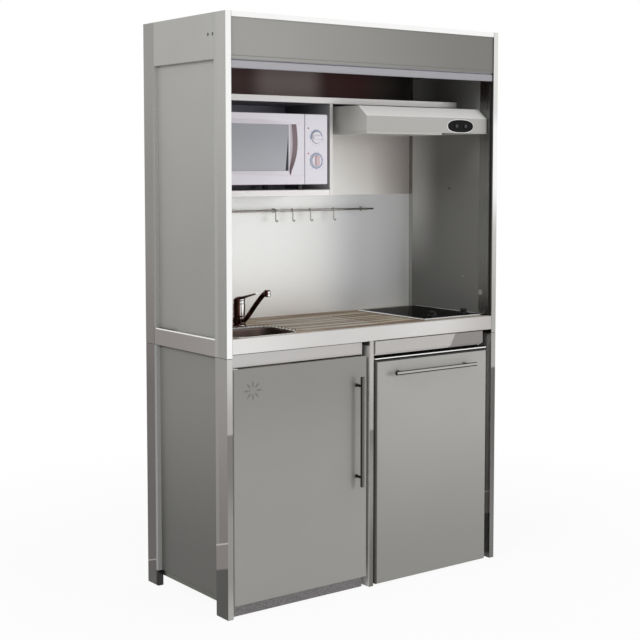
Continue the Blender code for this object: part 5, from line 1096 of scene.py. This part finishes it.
def bar_knob(middle, radius, skirt, height, width):
    """A turned skirt with a bar across it: the bar is an outline of two half circles, carried
    up with a round rim."""
    skirt_profile = [(0, 0), (radius, 0), (radius, skirt * 0.55), (radius * 0.86, skirt), (0, skirt * 1.05)]
    outline = round_corners(width / 2, radius * 0.92, width / 2 * 0.98, 10)
    rise = height - skirt * 0.5
    rim = [
        (0.0, 0.0), (0.0, rise * 0.55), (width * 0.03, rise * 0.82), (width * 0.12, rise * 0.95),
        (width * 0.24, rise),
    ]
    base = turned(softened(skirt_profile, radius * 0.06), middle)
    return [base, carried(outline, rim, np.array(middle) + (0, 0, skirt * 0.5))]


for side in ("left", "right"):
    node = f"hob_knob_{side}"
    seat = (*box_middle(node)[:2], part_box(node)[0].z)
    piece(
        f"{node}_moulding", bar_knob(seat, 0.0174, 0.0062, 0.0199, 0.0105), black_plastic,
        node, (node,),
    )


# ----------------------------------------
# The shelves and the upright between oven and hood are white faced boards, edged on the
# front and fixed to the side panels with hidden studs.


def shelf_tone(board):
    """Painted shade on the shelves' faces that look down."""
    below = board.between(0.0 - board.direction("Z"), 0.4, 0.8)
    return board.mix(below, tone(247, 244, 243), tone(146, 145, 150))


dress(("top_shelf", "microwave_shelf"), laminate("shelf laminate", shelf_tone), 0.0008)


def divider_tone(board):
    """Painted shade on the upright's face beside the oven, as in the niche, deepest at the rear."""
    shaded = board.stepped(
        board.y, tone(238, 236, 234), (behind(0.03), behind(0.10), tone(214, 212, 212)),
        (behind(0.10), behind(0.40), tone(104, 104, 110)),
    )
    return board.mix(board.direction("X") < -0.5, tone(233, 230, 227), shaded)


dress(("niche_divider",), laminate("divider laminate", divider_tone), 0.0008)


# ----------------------------------------
# The utensil rail is a thin chromed bar, carried off the splash panel by three brackets,
# with four bent wire hooks on it.

RAIL_RADIUS = 0.004
RAIL_Y = behind(0.448)
RAIL_Z = 1.322
wall_y = behind(0.4777)
rail_ends = (across(0.060), across(0.968))
bar_profile = softened([
    (0, rail_ends[0]), (RAIL_RADIUS, rail_ends[0]), (RAIL_RADIUS, rail_ends[1]), (0, rail_ends[1]),
], 0.0015)
rail_shells = [turned(bar_profile, (0, RAIL_Y, RAIL_Z), "X", 32)]
for x in (0.100, 0.514, 0.928):
    bracket = [
        (0, RAIL_Y - 0.0052), (0.0050, RAIL_Y - 0.0050), (0.0050, wall_y - 0.004),
        (0.0085, wall_y - 0.003), (0.0085, wall_y), (0, wall_y),
    ]
    rail_shells.append(turned(softened(bracket, 0.0010), (across(x), 0, RAIL_Z), "Y", 32))
WIRE_RADIUS = 0.0022
HOOK_DROP, HOOK_RADIUS = 0.034, 0.00625
hook_ring = RAIL_RADIUS + WIRE_RADIUS - 0.0003
half_turn = np.linspace(0, math.pi, 13)
for x in (0.500, 0.578, 0.660, 0.770):
    over = np.stack([
        np.full(13, across(x)), RAIL_Y + hook_ring * np.cos(half_turn),
        RAIL_Z + hook_ring * np.sin(half_turn),
    ], -1)
    under = np.stack([
        np.full(13, across(x)), RAIL_Y - hook_ring - HOOK_RADIUS * (1 - np.cos(half_turn)),
        RAIL_Z - HOOK_DROP - HOOK_RADIUS * np.sin(half_turn),
    ], -1)
    tail = over[:1] - (0, 0, hook_ring)
    rail_shells.append(tube(np.vstack([tail, over, under]), WIRE_RADIUS, sides=12))
piece("utensil_rail_set", rail_shells, chrome, "cabinet", ("utensil_rail",))


# ----------------------------------------
# The cooker hood is a folded and painted steel visor with an aluminium grease filter below.
# A lamp cover runs behind its front edge, and an oval plate in its face holds two buttons.


def hood_tone(paint):
    """Painted light on the visor, by which way each face looks: its sloping top is palest, its upright face
    duller, and its end dullest.
    """
    upright = paint.between(paint.facing("Y"), 0.75, 0.95)
    level = paint.mix(upright, tone(250, 249, 247), tone(168, 167, 164))
    east = (paint.x - PLATE[0]).size() / BEZEL_HALF[0]
    north = (paint.z - PLATE[2]).size() / BEZEL_HALF[1]
    bezel = ((east ** 2.38 + north ** 2.38) < 1.0) * upright
    level = paint.mix(bezel, level, tone(236, 235, 233))
    return paint.mix(paint.between(paint.facing("X"), 0.4, 0.8), level, tone(196, 195, 190))


plate_x, _, plate_z = box_middle("hood_switch_plate")
PLATE = (plate_x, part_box("hood_switch_plate")[1].y, plate_z)
BEZEL_HALF = (0.0652, 0.0252)
dress(("hood_body",), powder_coat("hood paint", hood_tone, roughness=0.32), 0.0007)
filter_metal = Finish("filter mesh", {"Metallic": 1.0, "Roughness": 0.38})
MESH_TURN = math.tau / 0.006
mesh_x, mesh_y = ((way * MESH_TURN).wave().size() for way in (filter_metal.x, filter_metal.y))
mesh_lines = mesh_x.least(mesh_y)
mesh_open = filter_metal.between(mesh_lines, 0.2, 0.7)
filter_metal.wear(filter_metal.mix(mesh_open, tone(190, 191, 192), tone(70, 71, 72)))
filter_metal.relief(mesh_lines, 0.0006, 0.7)
dress(("hood_filter",), filter_metal)

COVER_RIB = 0.004
lamp_cover = Finish("lamp cover", {"Roughness": 0.35})
ribs = (lamp_cover.x * (math.tau / COVER_RIB)).wave()
lamp_cover.wear(lamp_cover.mix(ribs * 0.5 + 0.5, tone(196, 195, 190), tone(180, 179, 174)))
lamp_cover.relief(ribs, 0.0003, 0.4)
hood_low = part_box("hood_body")[0]
cover_block = rounded_block(
    (across(0.607), behind(0.040), hood_low.z - 0.0072),
    (across(0.960), behind(0.300), hood_low.z + 0.0035), 0.003,
)
piece("hood_lamp_cover", [cover_block], lamp_cover, "cabinet")

oval = circle(np.linspace(0, math.tau, 96, endpoint=False))
oval = np.sign(oval) * np.abs(oval) ** 0.84 * (0.0618, 0.0228)
plate_rim = np.array([
    (0.0, 0.0), (0.0, -0.0016), (0.0008, -0.0026), (0.0022, -0.0031), (0.0045, -0.0028),
    (0.0060, -0.0022),
])
switch_shells = [carried(oval, plate_rim, PLATE, "Y")]
plate_black = clouded(
    "switch plate", {"Specular IOR Level": 0.12}, 1300.0, tone(6, 6, 7), tone(18, 18, 19), 0.5,
    roughness=(0.34, 0.10),
)
for x in (-0.022, 0.022):
    collar = [(0.0069, 0.0022), (0.0086, 0.0022), (0.0084, 0.0034), (0.0072, 0.0036), (0.0069, 0.0030)]
    collar = np.array(collar + collar[:1]) * (1, -1)
    switch_shells.append(turned(collar, (PLATE[0] + x, PLATE[1], PLATE[2]), "Y", 40))
piece("hood_oval_plate", switch_shells, plate_black, "cabinet", ("hood_switch_plate",))
button_grey = clouded(
    "hood button", {"Specular IOR Level": 0.5}, 900.0, tone(34, 35, 37), tone(56, 58, 61),
    roughness=(0.3, 0.1),
)
for side in ("left", "right"):
    node = f"hood_button_{side}"
    low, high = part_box(node)
    length = high.y - low.y
    cap = np.array([
        (0, 0), (0.0064, 0), (0.0064, length - 0.0008), (0.0052, length), (0.0030, length - 0.0004),
        (0, length - 0.0006),
    ]) * (1, -1)
    seat = (box_middle(node)[0], high.y, box_middle(node)[2])
    piece(f"{node}_cap", [turned(softened(cap, 0.0004), seat, "Y", 40)], button_grey, node, (node,))


# ----------------------------------------
# The shutter box: a painted fascia under a steel top rail, a painted roof, and a folded
# cassette behind the fascia that carries the roller between its ends.


def fascia_tone(paint):
    """Painted light: the fascia darkens a little from left to right; painted shade marks the fold along its
    lower edge.
    """
    face = paint.mix(paint.between(paint.x, -0.6, 0.6), tone(153, 152, 148), tone(114, 113, 109))
    fold = (paint.z - FASCIA_FOLD).size() < FOLD_HALF
    return paint.mix(fold * 0.55, face, tone(96, 95, 92))


FASCIA_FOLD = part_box("shutter_fascia")[0].z + 0.010
FOLD_HALF = 0.0016
dress(("shutter_fascia",), powder_coat("fascia paint", fascia_tone, roughness=0.4))
dress(("roof_panel",), box_cover, EDGE)
dress(("top_rail",), ground_steel("top rail steel", tone(255, 255, 254), tone(200, 199, 196), 0), EDGE)
dress(("shutter_cassette",), powder_coat("cassette paint", tone(52, 50, 47)), 0.0004)


# ----------------------------------------
# The roller shutter. Hollow aluminium slats hook into each other, run in channels in the
# posts and wind on the roller in the box. A heavier end bar closes the curtain.

shutter_metal = Finish("shutter aluminium", {"Metallic": 0.3})
drawn = shutter_metal.noise(800.0, (0.02, 1.0, 1.0), 3.0)
seams = shutter_metal.node("Attribute", {"attribute_name": "shade"}, output="Fac")
# Painted light: the slats darken towards the right; painted shade lies along the seams between the slats.
slat_share = drawn * 0.6 + 0.4 * shutter_metal.between(shutter_metal.x, -0.6, 0.6)
slat_tone = shutter_metal.mix(slat_share, tone(170, 169, 174), tone(142, 141, 146))
shutter_metal.wear(shutter_metal.mix(seams * 0.7, slat_tone, tone(62, 62, 66)), 0.34 + 0.10 * drawn)
shutter_metal.relief(drawn, 0.00006, 0.3)
dress(("shutter_bottom_bar",), shutter_metal)
guide_paint = powder_coat("guide paint", tone(64, 63, 61), roughness=0.5)
dress(("shutter_guide_left", "shutter_guide_right"), guide_paint)
dress(("shutter_roller",), shutter_metal)

curtain_low, curtain_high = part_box("shutter_curtain")
SLATS = 23
SLAT_STEPS = 8
u = np.linspace(0, 1, SLATS * SLAT_STEPS + 1)
down = 0.5 - np.sin(np.arcsin(1 - 2 * u) / 3)
slat = (u * SLATS) % 1.0
crown = np.sin(math.pi * slat) ** 0.6
height = curtain_high.z + (curtain_low.z - curtain_high.z) * down
thick = curtain_high.y - curtain_low.y
front_y = curtain_low.y + thick * (0.30 - 0.28 * crown)
back_y = curtain_high.y - thick * (0.30 - 0.18 * crown)
columns = np.array([curtain_low.x, curtain_high.x])
front = np.stack([
    np.broadcast_to(columns, (len(u), 2)), np.broadcast_to(front_y[:, None], (len(u), 2)),
    np.broadcast_to(height[:, None], (len(u), 2)),
], -1)
back = front[:, ::-1].copy()
back[..., 1] = back_y[:, None]
slat_seams = np.repeat(np.where(np.arange(len(u)) % SLAT_STEPS == 0, 1.0, 0.0), 4)
curtain = piece(
    "slatted_curtain", [skin(np.concatenate([front, back], 1))], shutter_metal, None,
    ("shutter_curtain",), shade=np.pad(slat_seams, (0, 2)),
)
curtain.modifiers.clear()
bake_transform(curtain)


# ----------------------------------------
# The cupboard's door is a folded steel pan, painted, with air slots pressed in a small star.
# Its bar handle is stainless tube on two feet, screwed on from behind.

ROSETTE = (across(0.100), 0.752)
ROSETTE_FROM, ROSETTE_TO = 0.0145, 0.0285
SLOT_HALF = 0.0025


def door_tone(paint):
    """Grey paint with painted light, a little darker above, and painted shade inside the pressed slots."""
    east = paint.x - ROSETTE[0]
    north = paint.z - ROSETTE[1]
    reach = (east * east * 0.78 + north * north) ** 0.5
    turn = (paint.math("ARCTAN2", north, east) * 4.0).wave().size()
    stroke = (turn * reach * 0.25) < SLOT_HALF
    pressed = stroke * (reach > ROSETTE_FROM) * (reach < ROSETTE_TO) * (paint.y < behind(0.0015))
    ground = paint.stepped(
        paint.z, tone(147, 146, 142), (0.15, 0.40, tone(145, 144, 140)), (0.45, 0.80, tone(134, 133, 129)),
    )
    return paint.mix(pressed * 0.5, ground, tone(84, 84, 80))


dress(("cupboard_door",), powder_coat("door paint", door_tone, roughness=0.4))

FEET_APART = 0.320


def bar_handle(name, node, axis, body, middle_tone):
    """A round bar with domed ends on two feet, each with a small flange against the door. Its
    steel has painted reflections, brightest along the middle and dark where the bar turns away,
    and a painted dark shadow on its underside."""
    handle_steel = Finish(f"{name} steel", {"Metallic": 1.0})
    handle_grain = handle_steel.noise(900.0, detail=3.0)
    ahead = handle_steel.between(handle_steel.facing("Y"), 0.55, 0.90)
    under = handle_steel.between(0.0 - handle_steel.direction("Z"), 0.26, 0.40)
    middle_mixed = handle_steel.mix(handle_grain * 0.5, middle_tone, tone(84, 83, 81))
    round_tone = handle_steel.mix(ahead, tone(48, 47, 46), middle_mixed)
    handle_steel.wear(handle_steel.mix(under, round_tone, tone(8, 8, 8)), 0.26 + 0.10 * handle_grain)
    low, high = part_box(node)
    radius = 0.007
    ends = (low.z, high.z) if axis == "Z" else (low.x, high.x)
    middle = (box_middle(node)[0], low.y + radius, box_middle(node)[2])
    centre = (middle[0], middle[1], 0) if axis == "Z" else (0, *middle[1:])
    line = [(0, ends[0]), (radius, ends[0]), (radius, ends[1]), (0, ends[1])]
    shells = [turned(softened(line, 0.0022, steps=6), centre, axis, 40)]
    for offset in (-FEET_APART / 2, FEET_APART / 2):
        foot = [
            (0, middle[1]), (0.0048, middle[1]), (0.0048, high.y - 0.0030), (0.0066, high.y - 0.0020),
            (0.0066, high.y), (0, high.y),
        ]
        along = (0, offset) if axis == "Z" else (offset, 0)
        place = (middle[0] + along[0], 0, middle[2] + along[1])
        shells.append(turned(softened(foot, 0.0008), place, "Y", 32))
    piece(name, shells, handle_steel, body, (node,))


bar_handle("cupboard_bar_handle", "cupboard_handle", "Z", "cupboard_door", tone(108, 107, 104))


# ----------------------------------------
# The refrigerator stands in the right bay. Its case is foam between a painted shell and a
# plastic liner, its door carries a second bar handle, and a steel strip covers its top edge.

dress(("fridge_case",), clouded(
    "liner plastic", {"Specular IOR Level": 0.5}, 14.0, tone(228, 230, 230), tone(206, 208, 208),
    0.3, roughness=(0.3, 0.08),
))
dress(("fridge_shelf",), clouded("shelf glass", {
    "Roughness": 0.04, "Transmission Weight": 0.85, "IOR": 1.45, "Specular IOR Level": 0.5,
}, 3.0, tone(222, 236, 230), tone(232, 242, 238)), 0.0006)
dress(("fridge_compressor",), powder_coat("compressor paint", tone(26, 26, 27), roughness=0.35))
strip_steel = Finish("strip steel", {"Metallic": 0.55})
STRIP_FOOT, STRIP_HEAD = 0.8138, 0.8240
strip_grain = strip_steel.scratches()
# Painted shade: the strip's right end is darker beyond a slanting line.
strip_end_shade = strip_steel.between(strip_steel.x - (strip_steel.z - 0.85) * 0.55, 0.373, 0.380)
strip_face = strip_steel.mix(strip_end_shade, tone(184, 181, 178), tone(136, 132, 129))
strip_face = strip_steel.mix(strip_grain * 0.15, strip_face, (0.2, 0.2, 0.2, 1.0))
# Painted shadow: the band below the strip's head is painted very dark.
strip_shade = strip_steel.z < STRIP_HEAD
strip_low = strip_steel.mix(strip_shade, strip_face, tone(5, 5, 5))
strip_steel.wear(
    strip_steel.mix(strip_steel.z > STRIP_FOOT, tone(250, 250, 248), strip_low),
    0.26 + 0.1 * strip_grain + 0.4 * strip_shade,
)
dress(("fridge_strip",), strip_steel, EDGE)


def fridge_tone(paint):
    """Painted light and shade on the refrigerator's door: darker below, a painted shadow along its
    upper edge under the strip, and another along its left edge beside the post."""
    door = paint.stepped(
        paint.z, tone(137, 136, 132), (0.05, 0.72, tone(161, 160, 156)),
        (0.8000, 0.8006, tone(34, 33, 32)),
    )
    beside_post = paint.x - fridge_low.x
    return paint.mix(paint.between(beside_post, 0.0045, 0.0095), tone(60, 59, 56), door)


fridge_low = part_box("fridge_door")[0]
dress(("fridge_door",), powder_coat("refrigerator door paint", fridge_tone, roughness=0.38))
bar_handle("fridge_bar_handle", "fridge_handle", "X", "fridge_door", tone(198, 197, 194))


# ----------------------------------------
# The microwave oven: a white painted steel case with a moulded front. The door's face has a
# sunk window and a scooped grip, and two faint arcs run across door and control panel.


def oven_skin(name, printed=False, painted_light=None):
    """Warm white plastic with a fine grain. Printed adds the control panel's dial scales: a blue
    ring and ticks round each knob, and the two small lamps, with a painted shadow ring round each
    knob's disc, painted shade below the door's lower edge and the dark seam beside the door. The
    last argument, if given, paints shade into the tone."""
    plastic = Finish(name, {"Specular IOR Level": 0.5})
    cloud = plastic.noise(7.0, detail=3.0)
    grain = plastic.noise(900.0)
    ground = plastic.mix(cloud * 0.3, tone(221, 217, 224), tone(204, 200, 207))
    if printed:
        ahead_of_case = plastic.y < OVEN_FRONT + 0.0006
        for height, first, last, ring in DIALS:
            east, north = plastic.x - DIAL_X, plastic.z - height
            reach = east.hypot(north)
            turn = plastic.math("ARCTAN2", north, east)
            along = ((turn > first) * (turn < last)).most(turn < first - 2.6)
            band = ((reach - ring).size() < BAND_HALF) * along
            tick = ((turn * 11.0).wave() > 0.6) * ((reach - ring - TICKS_OUT).size() < TICK_HALF)
            # Painted shadow: a grey ring round each knob's disc.
            rim = ((reach - KNOB_SHADOW_RADIUS).size() < KNOB_SHADOW_HALF) * ahead_of_case
            ground = plastic.mix(rim * 0.7, ground, tone(112, 108, 116))
            marks = (band * 0.8).most(tick * 0.4) * ahead_of_case
            ground = plastic.mix(marks, ground, tone(78, 114, 154))
        for place, colour in ((LAMP_PLACE, tone(168, 64, 48)), (DOT_PLACE, tone(90, 90, 98))):
            away = (plastic.x - place[0]).hypot(plastic.z - place[1])
            dot = (away < DOT_RADIUS) * ahead_of_case
            ground = plastic.mix(dot, ground, colour)
        # Painted shade: the case is painted dark below the door's lower edge, on its feet and underside.
        ground = plastic.mix(plastic.z < OVEN_UNDERSIDE, ground, tone(26, 26, 28))
        seam = (plastic.x - OVEN_SEAM).size() < GAP_HALF
        ground = plastic.mix(seam * ahead_of_case * 0.7, ground, tone(70, 64, 70))
    plastic.wear(painted_light(plastic, ground) if painted_light else ground, 0.26 + 0.10 * grain)
    plastic.relief(grain, 0.00008, 0.15)
    return plastic


OVEN_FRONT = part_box("microwave_case")[0].y
DIAL_X = across(0.463)
POWER_Z = 1.5863
TIMER_Z = 1.5053
# Each dial's height, the angles between which its blue band runs, and the band's radius.
DIALS = ((POWER_Z, -0.30, 3.3, 0.0243), (TIMER_Z, -4.0, 4.0, 0.0256))
BAND_HALF, TICK_HALF, KNOB_SHADOW_HALF, GAP_HALF = 0.0021, 0.0012, 0.0009, 0.0016
TICKS_OUT = 0.0050
KNOB_SHADOW_RADIUS = 0.0212
DOT_RADIUS = 0.0030
OVEN_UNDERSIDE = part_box("microwave_door")[0].z - 0.0002
OVEN_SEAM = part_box("microwave_door")[1].x + 0.0012
LAMP_PLACE = (across(0.4284), 1.5305)
DOT_PLACE = (across(0.4289), 1.6172)
dress(("microwave_case",), oven_skin("oven case plastic", printed=True), 0.0008)

# The door's face is a height field: its rounded rim, the window's recess, the grip's scoop and
# the two arcs all sink the same sheet.
door_low, door_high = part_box("microwave_door")
WINDOW = (across(0.076), across(0.346), 1.4703, 1.6283)
GRIP_LEFT = across(0.3490)
GRIP_REACH = 0.0360
GRIP_LOW = 1.4523
GRIP_HIGH = 1.6303
GRIP_SINK = 0.0140
GRIP_TURN = 0.66
ARC_CREST, ARC_HALF = across(0.116), 0.300
UPPER_ARC, UPPER_DROP = 1.6456, 0.0160
LOWER_ARC, LOWER_DROP = 1.4600, 0.0077


def smooth(value, low, high):
    """0 below low, 1 above high, and between them three times the square of the way gone less
    twice its cube."""
    s = np.clip((value - low) / (high - low), 0, 1)
    return s * s * (3 - 2 * s)


def stations(low, high, count, *closer):
    """Places spread evenly from low to high, with more of them in each closer range."""
    ranges = ((low, low + 0.003, 5), (low, high, count), (high - 0.003, high, 5), *closer)
    return np.unique(np.concatenate([np.linspace(*each) for each in ranges]).round(6))


column = stations(
    door_low.x, door_high.x, 70, (WINDOW[0] - 0.0012, WINDOW[0] + 0.0016, 6),
    (WINDOW[1] - 0.0016, WINDOW[1] + 0.0012, 6), (GRIP_LEFT - 0.001, GRIP_LEFT + GRIP_REACH + 0.002, 72),
)
row = stations(
    door_low.z, door_high.z, 170, (WINDOW[2] - 0.0012, WINDOW[2] + 0.0016, 6),
    (WINDOW[3] - 0.0016, WINDOW[3] + 0.0012, 6),
)
x, z = np.meshgrid(column, row)
edge = np.minimum.reduce([x - door_low.x, door_high.x - x, z - door_low.z, door_high.z - z])
sink = 0.0022 * (1 - np.sqrt(np.clip(1 - (1 - np.clip(edge / 0.0025, 0, 1)) ** 2, 0, 1)))
inside = np.minimum.reduce([x - WINDOW[0], WINDOW[1] - x, z - WINDOW[2], WINDOW[3] - z])
sink += 0.0030 * smooth(inside, -0.0006, 0.0008)
from_crest = (x - ARC_CREST) / ARC_HALF
upper_arc = UPPER_ARC - UPPER_DROP * from_crest ** 2 * 0.95
lower_arc = LOWER_ARC - LOWER_DROP * from_crest
within = np.minimum(upper_arc - z, z - lower_arc)
sink += 0.0009 * smooth(within, -0.0020, 0.0020)
SHARES = (0.16, 0.28, 0.52, 0.72, 0.87, 0.96, 1.0, 1.0, 0.97, 0.91, 0.84)
rise = np.clip((z - GRIP_LOW) / (GRIP_HIGH - GRIP_LOW), 0, 1)
reach = GRIP_REACH * np.interp(rise, np.linspace(0, 1, len(SHARES)), SHARES)
run = (x - GRIP_LEFT) / reach
scoop = np.where(run < GRIP_TURN, run / GRIP_TURN, (1 - run) / (1 - GRIP_TURN))
scoop = np.clip(scoop, 0, 1) * smooth(rise, 0.0, 0.10) * (1 - smooth(rise, 0.985, 1.0))
sink += GRIP_SINK * scoop * ((run > 0) & (run < 1)) * ((z > GRIP_LOW) & (z < GRIP_HIGH))
face = np.stack([x, door_low.y + sink, z], -1)
rear = face.copy()
rear[..., 1] = door_high.y
door_rows, door_columns = x.shape
shell = np.concatenate([face, rear[:, ::-1]], 1)
door_points, door_quads, door_fans = skin(shell, ends=False)
# Painted shade for the grip: a ramp that deepens across its scoop, darkest on its inner right face, and
# faint painted shade along and between the two arcs.
ramp = np.clip(run / GRIP_TURN, 0, 1) * 0.34 + 0.06
in_grip = ((run > 0.0) & (run < 0.97)) * smooth(rise, 0.0, 0.06) * (rise < 0.999)
shade = np.where(run < GRIP_TURN, ramp, 0.78) * in_grip
upper_band = smooth(upper_arc - z, -0.001, 0.002) * smooth(z, WINDOW[3] - 0.006, WINDOW[3] + 0.001)
lower_band = smooth(z - lower_arc, -0.001, 0.002) * (1 - smooth(z, WINDOW[2] - 0.001, WINDOW[2] + 0.006))
fading = 1 - smooth(x, door_low.x + 0.20, WINDOW[1] + 0.030)
shade = np.maximum(shade, 0.15 * (upper_band + 0.6 * lower_band) * fading * (x < GRIP_LEFT))
arc_line = np.exp(-((z - upper_arc) / 0.0012) ** 2) + np.exp(-((z - lower_arc) / 0.0012) ** 2)
shade = np.maximum(shade, 0.12 * arc_line * ((run <= 0) | (run >= 1)))
door_shade = np.concatenate([shade, np.zeros_like(shade)], 1).ravel()
index = np.arange(door_rows * 2 * door_columns).reshape(door_rows, -1)
caps = []
for line in (index[0], index[-1]):
    front_line, rear_line = line[:door_columns], line[:door_columns - 1:-1]
    caps.append(np.stack([front_line[:-1], front_line[1:], rear_line[1:], rear_line[:-1]], -1))
door_quads = np.vstack([door_quads, *caps])
# The door's plastic reads the painted shade from each point's shade value.
door_plastic = oven_skin("oven door plastic", painted_light=lambda plastic, ground: plastic.mix(
    plastic.node("Attribute", {"attribute_name": "shade"}, output="Fac"), ground, tone(100, 66, 66),
))
piece(
    "microwave_moulded_door", [(door_points, door_quads, door_fans)], door_plastic,
    "microwave_door", ("microwave_door",), sharp=50, shade=door_shade,
)
pane = Finish("oven window", {"Specular IOR Level": 0.5})
PIERCING = math.tau / 0.0030
EDGE_TOP, EDGE_LEAN = 1.604, 0.095
holes = (pane.x * PIERCING).wave() * (pane.z * PIERCING).wave()
pane_height = pane.between(pane.z, WINDOW[2], WINDOW[3])
# Painted shadow along the window's right edge, leaning with height.
pane_edge = pane.x + (EDGE_TOP - pane.z) * EDGE_LEAN
edge_shadow = pane.between(pane_edge, WINDOW[1] - 0.0006, WINDOW[1] + 0.0002) * (pane.z < EDGE_TOP - 0.003)
pane_ground = pane.mix(pane_height, tone(168, 169, 174), tone(151, 153, 158))
pane_tone = pane.mix(pane.between(holes, 0.1, 0.7) * 0.12, pane_ground, tone(70, 70, 76))
pane.wear(pane.mix(edge_shadow, pane_tone, tone(34, 32, 36)), 0.16 + 0.06 * holes)
pane_block = rounded_block(
    (WINDOW[0] + 0.0006, door_low.y + 0.0022, WINDOW[2] + 0.0006),
    (WINDOW[1] - 0.0006, door_low.y + 0.0120, WINDOW[3] - 0.0006), 0.0008,
)
piece("microwave_window", [pane_block], pane, "microwave_door")
dress(("microwave_turntable",), clouded("turntable glass", {
    "Roughness": 0.06, "Transmission Weight": 0.8, "IOR": 1.45, "Specular IOR Level": 0.5,
}, 4.0, tone(225, 235, 232), tone(238, 242, 240)))
knob_white = oven_skin("oven knob plastic")
pink_white = clouded(
    "oven timer plastic", {"Specular IOR Level": 0.5, "Roughness": 0.3}, 40.0,
    tone(206, 184, 188), tone(194, 172, 176),
)
for label, height in (("power", POWER_Z), ("timer", TIMER_Z)):
    node = f"microwave_{label}_knob"
    low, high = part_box(node)
    seat = high.y
    depth = high.y - low.y
    disc = [(0, 0), (0.0205, 0), (0.0202, depth * 0.30), (0.0186, depth * 0.42), (0, depth * 0.42)]
    base = turned(softened(np.array(disc) * (1, -1), 0.0010), (DIAL_X, seat, height), "Y", 56)
    grip = round_corners(0.0062 if label == "power" else 0.0082, 0.0182, 0.0058, 10)
    if label == "power":
        grip = grip[:, ::-1] * (-1, 1)
    rise = depth * 0.66
    lift = np.array([(0, 0), (0, -rise * 0.6), (0.0006, -rise * 0.9), (0.0018, -rise), (0.0032, -rise)])
    bar = carried(grip, lift, (DIAL_X, seat - depth * 0.34, height), "Y")
    body = f"{label}_knob"
    piece(f"microwave_{label}_disc", [base], knob_white, body, (node,))
    piece(f"microwave_{label}_grip", [bar], knob_white if label == "power" else pink_white, body)
